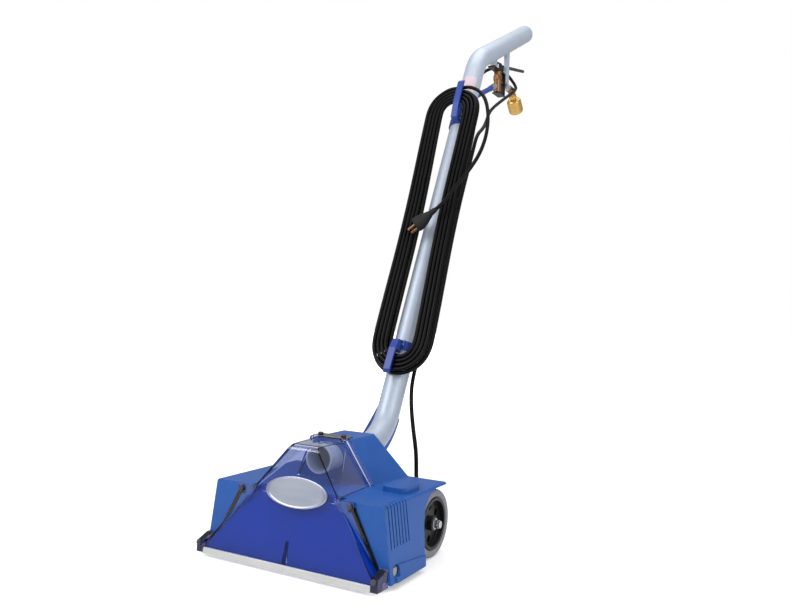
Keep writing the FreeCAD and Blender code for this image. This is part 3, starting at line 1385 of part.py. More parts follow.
def build():
    save("cover_shell", cover_shell())
    save("chute_plate", chute_plate())
    save("suction_shoe", suction_shoe())
    save("shoe_gasket", shoe_gasket())
    save("suction_lip", lip_body(0.0))
    save("oval_badge", badge())
    save("shoe_bolts", shoe_bolts())
    save("brush_core", brush_core())
    save("brush_bristles", brush_bristles())
    save("brush_bearings", brush_bearings())
    save("brush_pulley", pulley(brush_y, brush_z, brush_pulley_radius, axle_radius))
    save("drive_belt", drive_belt())
    save("motor_body", motor_body())
    save("motor_bells", motor_bells())
    save("motor_shaft", motor_shaft())
    save("motor_pulley", pulley(motor_y, motor_z, motor_pulley_radius, motor_shaft_radius))
    save("motor_mount", motor_mount())
    save("base_frame", frame())
    save("right_hub", wheel_hub())
    save("left_hub", mirrored(wheel_hub()))
    save("right_tyre", wheel_tyre())
    save("left_tyre", mirrored(wheel_tyre()))
    save("wheel_axles", wheel_axles())
    save("axle_washers", axle_washers())
    save("axle_nuts", axle_nuts())
    save("spray_bar", spray_bar())
    save("spray_nozzles", spray_nozzles())
    save("solution_line", solution_line())
    save("hose_fitting", hose_fitting())
    save("solution_hose", solution_hose())
    save("outlet_ferrule", outlet_ferrule())
    save("hose_clips", hose_clips())
    for node, piece in zip(("elbow_tube", "leaning_tube", "bend_tube", "grip_tube"), tube_pieces()):
        save(node, piece)
    save("mouth_ring", mouth_ring())
    save("tube_saddle", tube_saddle())
    save("upper_hook", hook(upper_hook_s, upper_web_top_s, upper_finger_tip_s))
    save("lower_hook", hook(lower_hook_s, lower_web_top_s, lower_finger_tip_s))
    save("hook_screws", hook_screws())
    save("valve_tab", valve_tab())
    save("rear_strut", rear_strut())
    save("valve_frame", valve_frame())
    save("valve_body", valve_body())
    save("valve_stem", valve_stem())
    save("trigger_lever", trigger_lever())
    save("trigger_pin", trigger_pin())
    save("inlet_elbow", inlet_elbow())
    save("quick_connect_body", quick_connect_body())
    save("quick_connect_sleeve", quick_connect_sleeve())
    save("cord_gland", cord_gland())
    save("power_cord_riser", power_cord_riser())
    save("power_cord_hank", power_cord_hank())
    save("power_cord_tail", power_cord_tail())
    save("power_plug", plug_body())
    save("plug_blades", plug_blades())


build()
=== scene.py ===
import logging
import math
from dataclasses import dataclass
from enum import Enum
from typing import Sequence, Union

import bpy
import numpy as np
from mathutils import Matrix


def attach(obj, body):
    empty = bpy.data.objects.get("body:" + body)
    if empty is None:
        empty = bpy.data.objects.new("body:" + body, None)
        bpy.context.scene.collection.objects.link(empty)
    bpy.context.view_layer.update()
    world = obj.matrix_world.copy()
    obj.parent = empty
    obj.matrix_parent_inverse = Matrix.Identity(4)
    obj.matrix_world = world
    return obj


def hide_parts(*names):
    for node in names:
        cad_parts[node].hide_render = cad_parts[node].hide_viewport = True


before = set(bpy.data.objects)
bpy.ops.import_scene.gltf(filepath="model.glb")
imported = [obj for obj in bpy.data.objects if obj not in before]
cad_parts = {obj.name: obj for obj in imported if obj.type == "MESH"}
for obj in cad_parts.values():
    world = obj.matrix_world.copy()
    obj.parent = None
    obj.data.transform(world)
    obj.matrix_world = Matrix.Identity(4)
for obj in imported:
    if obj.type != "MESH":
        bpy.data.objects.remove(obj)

logging.basicConfig(level=logging.INFO, format="%(message)s")
log = logging.getLogger("groomer")

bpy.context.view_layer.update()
X_AXIS = np.array([1.0, 0.0, 0.0])
Y_AXIS = np.array([0.0, 1.0, 0.0])
LEAN = math.radians(24.95)
GRIP = math.radians(28.0)
LEAN_DIR = np.array([0.0, math.sin(LEAN), math.cos(LEAN)])
FRONT_DIR = np.array([0.0, -math.cos(LEAN), math.sin(LEAN)])
GRIP_DIR = np.array([0.0, math.cos(GRIP), math.sin(GRIP)])
LEAN_FOOT = np.array([0.0, -0.15705, 0.2814])
GRIP_CORNER = np.array([0.0, 0.17788, 1.0013])
UP = (0.0, 0.0, 1.0)
RIGHT = (1.0, 0.0, 0.0)
WHITE = (1.0, 1.0, 1.0, 1.0)
MM = 0.001

Source = Union[bpy.types.NodeSocket, float, tuple]


def tube_point(along: Union[float, np.ndarray], front: Union[float, np.ndarray],
               across: Union[float, np.ndarray]) -> np.ndarray:
    """A place along the leaning tube, in front of its axis and to its right.

    Args:
        along: metres up the leaning run from its foot.
        front: metres in front of the tube's axis.
        across: metres to the right.

    Returns:
        The point, or one row per value given.
    """
    along, front, across = (np.asarray(v, float)[..., None] for v in (along, front, across))
    return LEAN_FOOT + along * LEAN_DIR + front * FRONT_DIR + across * X_AXIS


def linear(red: int, green: int, blue: int) -> tuple[float, float, float, float]:
    """A colour as written for a screen, turned into the renderer's linear values.

    Args:
        red: 0 to 255.
        green: 0 to 255.
        blue: 0 to 255.

    Returns:
        Linear red, green and blue with an alpha of 1.
    """
    screen = np.array([red, green, blue]) / 255.0
    plain = np.where(screen <= 0.04045, screen / 12.92, ((screen + 0.055) / 1.055) ** 2.4)
    return (*map(float, plain), 1.0)


# ---------------------------------------------------------------- surfaces
def grid_faces(rows: int, cols: int, wrap_rows: bool, wrap_cols: bool) -> np.ndarray:
    """Quads between neighbouring rows and columns of a grid of points.

    Args:
        rows: number of rows.
        cols: number of columns.
        wrap_rows: join the last row to the first.
        wrap_cols: join the last column to the first.

    Returns:
        Four point numbers for each quad.
    """
    i, j = np.meshgrid(np.arange(rows if wrap_rows else rows - 1),
                       np.arange(cols if wrap_cols else cols - 1), indexing="ij")
    next_i, next_j = (i + 1) % rows, (j + 1) % cols
    corners = (i * cols + j, i * cols + next_j, next_i * cols + next_j, next_i * cols + j)
    return np.stack(corners, -1).reshape(-1, 4)


def signed_volume(points: np.ndarray, faces: np.ndarray) -> float:
    """Six times the volume inside a closed skin, positive where its faces look outwards."""
    a, b, c = points[faces[:, 0]], points[faces[:, 1]], points[faces[:, 2]]
    whole = np.einsum("ij,ij->", a, np.cross(b, c))
    if faces.shape[1] == 4:
        whole += np.einsum("ij,ij->", a, np.cross(c, points[faces[:, 3]]))
    return float(whole)


def mesh_piece(name: str, points: np.ndarray, quads: np.ndarray, fans: np.ndarray,
               crease: float = 35.0) -> bpy.types.Object:
    """An object from points and faces, shaded smooth between creases.

    Args:
        name: the piece's name.
        points: one row per point, in metres.
        quads: four point numbers a row.
        fans: three point numbers a row, or none.
        crease: faces that meet at a sharper angle than this, in degrees, keep their edge.

    Returns:
        The new object, linked to the scene.
    """
    volume = signed_volume(points, quads) + (signed_volume(points, fans) if len(fans) else 0.0)
    if volume < 0:
        quads, fans = quads[:, ::-1], fans[:, ::-1]
    mesh = bpy.data.meshes.new(name)
    mesh.from_pydata(points.tolist(), [], quads.tolist() + fans.tolist())
    mesh.polygons.foreach_set("use_smooth", np.ones(len(mesh.polygons), bool))
    mesh.set_sharp_from_angle(angle=math.radians(crease))
    mesh.update()
    piece = bpy.data.objects.new(name, mesh)
    bpy.context.scene.collection.objects.link(piece)
    return piece


def surface(name: str, grid: np.ndarray, wrap_rows: bool = False, capped: bool = True,
            crease: float = 35.0) -> bpy.types.Object:
    """A skin over a grid whose rows are closed loops.

    The loops are joined one to the next. Each open end is closed by a fan to its middle.

    Args:
        name: the piece's name.
        grid: rows of loops of points, shape (rows, columns, 3).
        wrap_rows: join the last loop to the first, as on a ring.
        capped: close the two ends, where the loops aren't wrapped.
        crease: edges sharper than this, in degrees, stay crisp.

    Returns:
        The new object.
    """
    rows, cols, _ = grid.shape
    points = grid.reshape(-1, 3)
    quads = grid_faces(rows, cols, wrap_rows, True)
    fans = np.zeros((0, 3), int)
    if capped and not wrap_rows:
        points = np.vstack([points, grid[0].mean(0), grid[-1].mean(0)])
        here = np.arange(cols)
        there = (here + 1) % cols
        last = (rows - 1) * cols
        first_fan = np.stack([np.full(cols, rows * cols), there, here], -1)
        last_fan = np.stack([np.full(cols, rows * cols + 1), here + last, there + last], -1)
        fans = np.vstack([first_fan, last_fan])
    return mesh_piece(name, points, quads, fans, crease)


def square_to(direction: np.ndarray) -> tuple[np.ndarray, np.ndarray]:
    """Two unit vectors square to a direction and to each other."""
    helper = X_AXIS if abs(direction[0]) < 0.9 else Y_AXIS
    first = np.cross(direction, helper)
    first /= np.linalg.norm(first)
    return first, np.cross(direction, first)


def turned(name: str, start: np.ndarray, direction: np.ndarray, profile: np.ndarray, sides: int = 48,
           ring: bool = False, crease: float = 35.0) -> bpy.types.Object:
    """A turned piece: start + direction * along + radius * (a circle square to the direction).

    Args:
        name: the piece's name.
        start: where along is zero.
        direction: the turning axis.
        profile: rows of (along, radius), in metres.
        sides: points round each circle.
        ring: the profile is a closed outline, as on a tyre.
        crease: edges sharper than this, in degrees, stay crisp.

    Returns:
        The new object.
    """
    direction = np.asarray(direction, float) / np.linalg.norm(direction)
    first, second = square_to(direction)
    angle = np.linspace(0.0, 2.0 * np.pi, sides, endpoint=False)
    circle = np.cos(angle)[:, None] * first + np.sin(angle)[:, None] * second
    grid = (np.asarray(start) + profile[:, 0, None, None] * direction
            + profile[:, 1, None, None] * circle[None, :, :])
    return surface(name, grid, wrap_rows=ring, crease=crease)


def rounded_section(half_along: float, half_deep: float, power: float, count: int) -> np.ndarray:
    """A rounded rectangle as a superellipse: each half size times cosine or sine to a small power."""
    angle = np.linspace(0.0, 2.0 * np.pi, count, endpoint=False)
    cos, sin = np.cos(angle), np.sin(angle)
    return np.stack([half_along * np.sign(cos) * np.abs(cos) ** power,
                     half_deep * np.sign(sin) * np.abs(sin) ** power], -1)


# ---------------------------------------------------------------- finishes
class Build(Enum):
    """How a finish is put together."""

    MOULDED = "moulded"
    METAL = "metal"
    CLEAR = "clear"


@dataclass(frozen=True)
class Finish:
    """One surface finish and the amounts of its effects.

    Sizes of grain are waves per metre and depths are metres of relief.
    """

    name: str
    slot: str
    build: Build
    colour: tuple
    second: tuple
    roughness: float
    spread: float = 0.12
    grain: float = 900.0
    depth: float = 0.00006
    stretch: tuple = (1.0, 1.0, 1.0)
    # Edge amount, colour and width: rubbed paler edges on most finishes, and painted shade, dark edge lines, on the
    # clear shoe.
    rub_and_shade: float = 0.25
    rub_and_shade_colour: tuple = (0.6, 0.6, 0.6, 1.0)
    rub_and_shade_width: float = 0.0012
    dust: float = 0.15
    specular: float = 0.5
    metallic: float = 0.85


COVER_BLUE = Finish("moulded_blue", "cover_blue", Build.MOULDED, linear(10, 74, 152), linear(15, 82, 162), 0.40,
                    grain=1400.0, depth=0.00005, rub_and_shade=0.35, rub_and_shade_colour=linear(100, 150, 210), rub_and_shade_width=0.0018,
                    dust=0.04, specular=0.4)
DUCT_BLUE = Finish("duct_blue", "cover_blue", Build.MOULDED, linear(3, 50, 150), linear(5, 56, 160), 0.60,
                   depth=0.00001, rub_and_shade=0.2, rub_and_shade_colour=linear(40, 100, 185), dust=0.0, specular=0.03)
HOOK_BLUE = Finish("hook_blue", "hook_blue", Build.MOULDED, linear(8, 46, 134), linear(14, 56, 148), 0.38,
                   grain=1500.0, rub_and_shade=0.5, rub_and_shade_colour=linear(80, 130, 205), rub_and_shade_width=0.0010)
HOSE_BLUE = Finish("hose_blue", "hose_blue", Build.MOULDED, linear(16, 58, 146), linear(24, 70, 160), 0.42, rub_and_shade=0.0)
# The clear shoe's edge colour is painted shade: dark violet lines along its edges, where clear plastic looks dark.
CLEAR_VIOLET = Finish("clear_violet", "clear_violet", Build.CLEAR, linear(188, 212, 242), linear(182, 206, 240), 0.03,
                      spread=0.05, grain=260.0, depth=0.00001, rub_and_shade=0.85,
                      rub_and_shade_colour=linear(84, 80, 128), rub_and_shade_width=0.0011, dust=0.0, specular=0.10)
BLACK_RUBBER = Finish("black_rubber", "black_rubber", Build.MOULDED, linear(12, 12, 14), linear(22, 22, 25), 0.60,
                      grain=1800.0, rub_and_shade=0.3, rub_and_shade_colour=linear(80, 80, 86), dust=0.10, specular=0.3)
CORD_BLACK = Finish("cord_black", "cord_black", Build.MOULDED, linear(3, 3, 4), linear(8, 8, 9), 0.40,
                    spread=0.15, grain=700.0, depth=0.00004, rub_and_shade=0.0, dust=0.0, specular=0.15)
BLACK_PLASTIC = Finish("black_plastic", "black_plastic", Build.MOULDED, linear(12, 12, 14), linear(20, 20, 23), 0.42,
                       grain=1600.0, rub_and_shade=0.4, rub_and_shade_colour=linear(90, 90, 96), dust=0.10, specular=0.35)
GREY_TYRE = Finish("grey_tyre", "grey_tyre", Build.MOULDED, linear(112, 112, 122), linear(132, 132, 140), 0.68,
                   grain=1100.0, depth=0.0001, rub_and_shade=0.2, rub_and_shade_colour=linear(160, 160, 166), dust=0.3)
BRISTLE = Finish("nylon_bristle", "bristle", Build.MOULDED, linear(30, 30, 34), linear(70, 70, 76), 0.5,
                 grain=2600.0, rub_and_shade=0.0, dust=0.2)
TUBE_ALUMINIUM = Finish("satin_tube", "tube_aluminium", Build.METAL, linear(184, 194, 208), linear(173, 184, 201),
                        0.46, spread=0.06, grain=700.0, depth=0.00001, rub_and_shade=0.0, dust=0.0, metallic=0.35)
BRIGHT_ALUMINIUM = Finish("bright_lip", "bright_aluminium", Build.METAL, linear(226, 226, 224), linear(204, 204, 204),
                          0.34, grain=500.0, depth=0.00002, stretch=(0.12, 1.0, 1.0), rub_and_shade=0.4,
                          rub_and_shade_colour=linear(240, 240, 240), metallic=0.55)
BRIGHT_STEEL = Finish("bright_steel", "bright_steel", Build.METAL, linear(206, 208, 212), linear(170, 172, 178), 0.24,
                      depth=0.00002, rub_and_shade=0.3, rub_and_shade_colour=linear(235, 235, 238), rub_and_shade_width=0.0006)
FRAME_STEEL = Finish("frame_steel", "frame_steel", Build.METAL, linear(150, 152, 156), linear(120, 122, 126), 0.45,
                     grain=700.0, rub_and_shade=0.3, rub_and_shade_colour=linear(200, 200, 204))
BRASS = Finish("warm_brass", "brass", Build.METAL, linear(170, 122, 82), linear(128, 96, 64), 0.36,
               grain=1200.0, depth=0.00002, rub_and_shade=0.5, rub_and_shade_colour=linear(240, 214, 150), rub_and_shade_width=0.0008)
PALE_BRASS = Finish("pale_brass", "brass", Build.METAL, linear(222, 186, 112), linear(206, 166, 92), 0.34,
                    grain=1200.0, depth=0.00002, rub_and_shade=0.5, rub_and_shade_colour=linear(250, 230, 170), rub_and_shade_width=0.0008)
DARK_STEEL = Finish("dark_steel", "bright_steel", Build.METAL, linear(88, 88, 94), linear(62, 62, 66), 0.42,
                    depth=0.00002, rub_and_shade=0.4, rub_and_shade_colour=linear(190, 190, 194), rub_and_shade_width=0.0006)
MOTOR_GREY = Finish("motor_grey", "motor_grey", Build.MOULDED, linear(96, 98, 102), linear(110, 112, 116), 0.5,
                    grain=800.0, rub_and_shade=0.3, rub_and_shade_colour=linear(170, 170, 174))
BADGE_FIELD = Finish("pale_badge", "pale_badge", Build.METAL, linear(190, 196, 210), linear(164, 172, 190), 0.40,
                     depth=0.00001, stretch=(0.15, 1.0, 1.0), rub_and_shade=0.2, rub_and_shade_colour=linear(250, 250, 252))
BADGE_RIM = Finish("badge_rim", "pale_badge", Build.METAL, linear(186, 188, 204), linear(160, 162, 184), 0.30,
                   depth=0.00001, rub_and_shade=0.4, rub_and_shade_colour=linear(236, 236, 244), rub_and_shade_width=0.0006)
LABEL_PINK = Finish("pale_label", "pale_badge", Build.MOULDED, linear(206, 184, 196), linear(216, 200, 208), 0.50,
                    depth=0.00001, rub_and_shade=0.0, dust=0.05)
DUST_COLOUR = linear(170, 168, 162)
HOOD_COLOUR = linear(198, 206, 234)


class Wiring:
    """A node tree with short ways to add nodes and join them."""

    def __init__(self, tree: bpy.types.NodeTree) -> None:
        """Keeps the tree to work on."""
        self.tree = tree

    def node(self, kind: str, **settings: object) -> bpy.types.Node:
        """A new node with the given settings.

        Args:
            kind: the node's type name.
            settings: properties to set on it.

        Returns:
            The node.
        """
        node = self.tree.nodes.new(kind)
        for key, value in settings.items():
            setattr(node, key, value)
        return node

    def feed(self, node: bpy.types.Node, sockets: dict[Union[str, int], Source]) -> bpy.types.Node:
        """Links or sets a node's inputs.

        Args:
            node: the node.
            sockets: input name or number, with a socket to link or a value to set.

        Returns:
            The same node.
        """
        for key, source in sockets.items():
            if isinstance(source, bpy.types.NodeSocket):
                self.tree.links.new(source, node.inputs[key])
            else:
                node.inputs[key].default_value = source
        return node

    def math(self, operation: str, first: Source, second: Source = 0.0) -> bpy.types.NodeSocket:
        """The result of one sum on one or two values."""
        node = self.node("ShaderNodeMath", operation=operation)
        return self.feed(node, {0: first, 1: second}).outputs[0]

    def ramp(self, value: Source, low: float, high: float, to_low: Source = 0.0,
             to_high: Source = 1.0) -> bpy.types.NodeSocket:
        """A smooth step from one value to another.

        Args:
            value: what is measured.
            low: where the step starts.
            high: where it ends.
            to_low: the result at the start.
            to_high: the result at the end.

        Returns:
            The stepped value.
        """
        node = self.node("ShaderNodeMapRange", interpolation_type="SMOOTHSTEP")
        return self.feed(node, {"Value": value, "From Min": low, "From Max": high,
                                "To Min": to_low, "To Max": to_high}).outputs[0]

    def mix(self, factor: Source, first: Source, second: Source) -> bpy.types.NodeSocket:
        """A colour between two others."""
        node = self.node("ShaderNodeMix", data_type="RGBA")
        return self.feed(node, {0: factor, 6: first, 7: second}).outputs[2]

    def noise(self, vector: Source, scale: Source, detail: float = 2.0) -> bpy.types.NodeSocket:
        """A noise value from 0 to 1 at points of a vector."""
        node = self.node("ShaderNodeTexNoise")
        return self.feed(node, {"Vector": vector, "Scale": scale, "Detail": detail}).outputs[0]

    def dot(self, first: Source, second: Source) -> bpy.types.NodeSocket:
        """The dot product of two vectors."""
        node = self.node("ShaderNodeVectorMath", operation="DOT_PRODUCT")
        return self.feed(node, {0: first, 1: second}).outputs["Value"]


class Effects:
    """The surface effects that several finishes share, each a node group built once."""

    def __init__(self) -> None:
        """Builds the three groups."""
        self.grain = self.moulded_grain()
        self.rub_and_shade = self.edge_rub_and_shade()
        self.dust = self.settled_dust()

    @staticmethod
    def start(name: str, inputs: dict[str, str], outputs: dict[str, str]
              ) -> tuple[bpy.types.NodeTree, Wiring, bpy.types.Node, bpy.types.Node]:
        """An empty group with its sockets.

        Args:
            name: the group's name.
            inputs: input names with their kinds, Float, Vector or Color.
            outputs: output names with their kinds.

        Returns:
            The tree, its wiring, its input node and its output node.
        """
        tree = bpy.data.node_groups.new(name, "ShaderNodeTree")
        for in_out, sockets in (("INPUT", inputs), ("OUTPUT", outputs)):
            for socket, kind in sockets.items():
                tree.interface.new_socket(name=socket, in_out=in_out, socket_type="NodeSocket" + kind)
        wiring = Wiring(tree)
        return tree, wiring, wiring.node("NodeGroupInput"), wiring.node("NodeGroupOutput")

    def moulded_grain(self) -> bpy.types.NodeTree:
        """Fine relief with slow changes of tone and gloss.

        The relief is fine noise times Depth. Tone is slow noise, and the roughness goes up and
        down by Spread with it.
        """
        tree, w, given, out = self.start(
            "moulded_grain",
            {"Scale": "Float", "Depth": "Float", "Stretch": "Vector", "Roughness": "Float", "Spread": "Float"},
            {"Roughness": "Float", "Height": "Float", "Tone": "Float"})
        place = w.node("ShaderNodeTexCoord").outputs["Object"]
        scaled = w.node("ShaderNodeVectorMath", operation="MULTIPLY")
        w.feed(scaled, {0: place, 1: given.outputs["Stretch"]})
        fine = w.noise(scaled.outputs[0], given.outputs["Scale"], 3.0)
        slow = w.noise(place, 9.0, 4.0)
        blotch = w.noise(scaled.outputs[0], w.math("MULTIPLY", given.outputs["Scale"], 0.12), 2.0)
        tone = w.math("ADD", w.math("MULTIPLY", slow, 0.6), w.math("MULTIPLY", blotch, 0.4))
        swing = w.math("MULTIPLY", w.math("SUBTRACT", tone, 0.5), w.math("MULTIPLY", given.outputs["Spread"], 2.0))
        w.feed(out, {"Roughness": w.math("ADD", given.outputs["Roughness"], swing),
                     "Height": w.math("MULTIPLY", fine, given.outputs["Depth"]),
                     "Tone": w.ramp(tone, 0.3, 0.7)})
        return tree

    def edge_rub_and_shade(self) -> bpy.types.NodeTree:
        """Edges softened and given an edge colour: rubbed paler on most finishes, and on the clear shoe a painted
        shade that darkens its edges.

        The mask is how far the rounded normal turns from the plain one, broken up by noise.
        """
        tree, w, given, out = self.start("edge_rub_and_shade", {"Width": "Float", "Amount": "Float"},
                                         {"Mask": "Float", "Normal": "Vector"})
        rounded = w.feed(w.node("ShaderNodeBevel", samples=4), {"Radius": given.outputs["Width"]}).outputs[0]
        plain = w.node("ShaderNodeNewGeometry").outputs["Normal"]
        turned_by = w.math("SUBTRACT", 1.0, w.dot(rounded, plain))
        place = w.node("ShaderNodeTexCoord").outputs["Object"]
        broken = w.ramp(w.noise(place, 130.0, 5.0), 0.38, 0.66)
        mask = w.math("MULTIPLY", w.math("MULTIPLY", w.ramp(turned_by, 0.02, 0.22), broken), given.outputs["Amount"])
        w.feed(out, {"Mask": mask, "Normal": rounded})
        return tree

    def settled_dust(self) -> bpy.types.NodeTree:
        """Dust that lies on faces that look up, thick and thin by noise."""
        tree, w, given, out = self.start("settled_dust", {"Amount": "Float"}, {"Mask": "Float"})
        up = w.dot(w.node("ShaderNodeNewGeometry").outputs["Normal"], UP)
        place = w.node("ShaderNodeTexCoord").outputs["Object"]
        patchy = w.ramp(w.noise(place, 34.0, 6.0), 0.35, 0.75)
        w.feed(out, {"Mask": w.math("MULTIPLY", w.math("MULTIPLY", w.ramp(up, 0.1, 1.0), patchy),
                                    given.outputs["Amount"])})
        return tree


class FinishShop:
    """Makes each finish's material once and puts it on pieces.

    Each edge of the clear shoe is where its mask starts and ends, in metres up or across.
    """

    hood_edge = (0.118, 0.135)
    ear_inner_edge = (0.154, 0.159)
    ear_top_edge = (0.036, 0.033)
    rib_side_edge = (0.0035, 0.0025)
    rib_top_edge = (0.052, 0.044)

    def __init__(self) -> None:
        """Builds the shared effects."""
        self.effects = Effects()
        self.made: dict[str, bpy.types.Material] = {}

    def group(self, w: Wiring, tree: bpy.types.NodeTree, sockets: dict) -> bpy.types.Node:
        """A group node with its inputs fed."""
        return w.feed(w.node("ShaderNodeGroup", node_tree=tree), sockets)

    def material(self, finish: Finish) -> bpy.types.Material:
        """The material of a finish.

        Args:
            finish: the finish to make.

        Returns:
            The material, the same one each time.
        """
        if finish.name in self.made:
            return self.made[finish.name]
        material = bpy.data.materials.new(finish.name)
        material.use_nodes = True
        w = Wiring(material.node_tree)
        shader = material.node_tree.nodes["Principled BSDF"]
        grain = self.group(w, self.effects.grain, {
            "Scale": finish.grain, "Depth": 1.0, "Stretch": finish.stretch,
            "Roughness": finish.roughness, "Spread": finish.spread})
        dust = self.group(w, self.effects.dust, {"Amount": finish.dust})
        colour = w.mix(grain.outputs["Tone"], finish.colour, finish.second)
        roughness = grain.outputs["Roughness"]
        bump = w.node("ShaderNodeBump")
        w.feed(bump, {"Strength": 1.0, "Distance": finish.depth, "Height": grain.outputs["Height"]})
        if finish.rub_and_shade > 0:
            rub_and_shade = self.group(w, self.effects.rub_and_shade, {"Width": finish.rub_and_shade_width, "Amount": finish.rub_and_shade})
            # The edge colour: rubbed wear on most finishes, painted shade along the clear shoe's edges.
            colour = w.mix(rub_and_shade.outputs["Mask"], colour, finish.rub_and_shade_colour)
            if finish.build is not Build.CLEAR:
                w.feed(bump, {"Normal": rub_and_shade.outputs["Normal"]})
        colour = w.mix(dust.outputs["Mask"], colour, DUST_COLOUR)
        if finish.build is Build.CLEAR:
            colour = w.mix(self.hood(w), colour, HOOD_COLOUR)
            colour = w.mix(self.thick_moulding(w), colour, finish.rub_and_shade_colour)
            self.clear(w, shader)
        roughness = w.math("ADD", roughness, w.math("MULTIPLY", dust.outputs["Mask"], 0.5))
        w.feed(shader, {"Base Color": colour, "Roughness": roughness, "Normal": bump.outputs[0]})
        shader.inputs["Metallic"].default_value = finish.metallic if finish.build is Build.METAL else 0.0
        shader.inputs["Specular IOR Level"].default_value = finish.specular
        self.made[finish.name] = material
        return material

    def hood(self, w: Wiring) -> bpy.types.NodeSocket:
        """How far up the hood a place is, where the moulding is thicker and so deeper in colour."""
        return w.ramp(w.dot(w.node("ShaderNodeTexCoord").outputs["Object"], UP), *self.hood_edge)

    def thick_moulding(self, w: Wiring) -> bpy.types.NodeSocket:
        """Where the shoe is solid and so looks darker: its two ears and the rib in its middle.

        The mask is 1 beyond the ears' inner faces, and within the rib's width low on the front.
        """
        place = w.node("ShaderNodeTexCoord").outputs["Object"]
        across = w.math("ABSOLUTE", w.dot(place, RIGHT))
        height = w.dot(place, UP)
        ears = w.math("MULTIPLY", w.ramp(across, *self.ear_inner_edge), w.ramp(height, *self.ear_top_edge))
        rib = w.math("MULTIPLY", w.ramp(across, *self.rib_side_edge), w.ramp(height, *self.rib_top_edge))
        return w.math("MAXIMUM", ears, rib)

    def clear(self, w: Wiring, shader: bpy.types.Node) -> None:
        """Clear plastic that lets the lamps through to what lies behind it.

        Args:
            w: the material's wiring.
            shader: its main shader.
        """
        shader.inputs["Transmission Weight"].default_value = 1.0
        shader.inputs["IOR"].default_value = 1.47
        path = w.node("ShaderNodeLightPath")
        passing = w.math("MAXIMUM", path.outputs["Is Shadow Ray"], path.outputs["Is Diffuse Ray"])
        w.feed(shader, {"Alpha": w.math("SUBTRACT", 1.0, w.math("MULTIPLY", passing, 0.9))})

    def dress(self, finish: Finish, *nodes: str) -> None:
        """Puts a finish on nodes of the frame.

        Args:
            finish: the finish.
            nodes: the nodes' names.
        """
        for name in nodes:
            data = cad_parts[name].data
            data.materials.clear()
            data.materials.append(self.material(finish))
            log.info("dressed %s with %s", name, finish.name)

    def finish_piece(self, piece: bpy.types.Object, finish: Finish, body: str,
                     replaced: Sequence[str] = ()) -> bpy.types.Object:
        """Gives a new piece its finish, its body and the nodes that it stands for.

        Args:
            piece: the new piece.
            finish: its finish.
            body: the body that it rides on.
            replaced: nodes of the frame that it replaces.

        Returns:
            The piece.
        """
        if not piece.data.materials:
            piece.data.materials.append(self.material(finish))
        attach(piece, body)
        if replaced:
            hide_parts(*replaced)
        log.info("made %s on %s", piece.name, body)
        return piece


# ---------------------------------------------------------------- sub-assemblies
@dataclass
class CoverAndChassis:
    """The blue cover with the steel frame and the motor under it."""

    def build(self, shop: FinishShop) -> None:
        """Dresses the cover's and the frame's nodes."""
        shop.dress(COVER_BLUE, "cover_shell")
        shop.dress(DUCT_BLUE, "chute_plate")
        shop.dress(FRAME_STEEL, "base_frame", "motor_mount")
        shop.dress(MOTOR_GREY, "motor_body")
        shop.dress(BRIGHT_ALUMINIUM, "motor_bells")
        shop.dress(DARK_STEEL, "motor_shaft", "brush_bearings")
        shop.dress(BLACK_PLASTIC, "motor_pulley", "brush_pulley")
        shop.dress(BLACK_RUBBER, "drive_belt")


@dataclass
class SuctionShoe:
    """The clear shoe with its seal, lip, bolts and bare oval badge."""

    badge_middle: tuple = (0.001, -0.47477, 0.120)
    badge_half_width: float = 0.0585
    badge_half_height: float = 0.024
    slope: float = 0.25376

    def badge(self) -> bpy.types.Object:
        """A low dome inside a raised rim.

        The surface is share * half width * cosine across and share * half height * sine up the
        shoe's face, lifted off the face by a height that depends on the share alone.
        """
        shares = np.array([0.02, 0.3, 0.6, 0.84, 0.875, 0.895, 0.915, 0.94, 0.965, 0.985, 1.0, 1.0, 0.6, 0.02])
        lifts = np.array([1.30, 1.24, 1.12, 1.0, 1.02, 1.25, 1.5, 1.58, 1.5, 1.25, 0.8, -0.02, -0.02, -0.02]) / 1000.0
        angle = np.linspace(0.0, 2.0 * np.pi, 96, endpoint=False)
        rise = np.array([0.0, self.slope, 1.0]) / math.hypot(1.0, self.slope)
        outward = np.array([0.0, -1.0, self.slope]) / math.hypot(1.0, self.slope)
        across = shares[:, None] * self.badge_half_width * np.cos(angle)
        up = shares[:, None] * self.badge_half_height * np.sin(angle)
        grid = (np.array(self.badge_middle) + across[..., None] * X_AXIS + up[..., None] * rise
                + np.broadcast_to(lifts[:, None], across.shape)[..., None] * outward)
        return surface("badge_plate", grid, crease=60.0)

    def build(self, shop: FinishShop) -> None:
        """Dresses the shoe and adds the badge with its rim in a second finish."""
        shop.dress(CLEAR_VIOLET, "suction_shoe")
        shop.dress(BLACK_RUBBER, "shoe_gasket")
        shop.dress(BRIGHT_ALUMINIUM, "suction_lip")
        shop.dress(DARK_STEEL, "shoe_bolts")
        badge = self.badge()
        badge.data.materials.append(shop.material(BADGE_FIELD))
        badge.data.materials.append(shop.material(BADGE_RIM))
        centres = np.zeros(len(badge.data.polygons) * 3)
        badge.data.polygons.foreach_get("center", centres)
        away = centres.reshape(-1, 3) - np.array(self.badge_middle)
        share = np.hypot(away[:, 0] / self.badge_half_width, away[:, 2] * 1.03 / self.badge_half_height)
        badge.data.polygons.foreach_set("material_index", (share > 0.875).astype(np.int32))
        shop.finish_piece(badge, BADGE_FIELD, "head", ["oval_badge"])


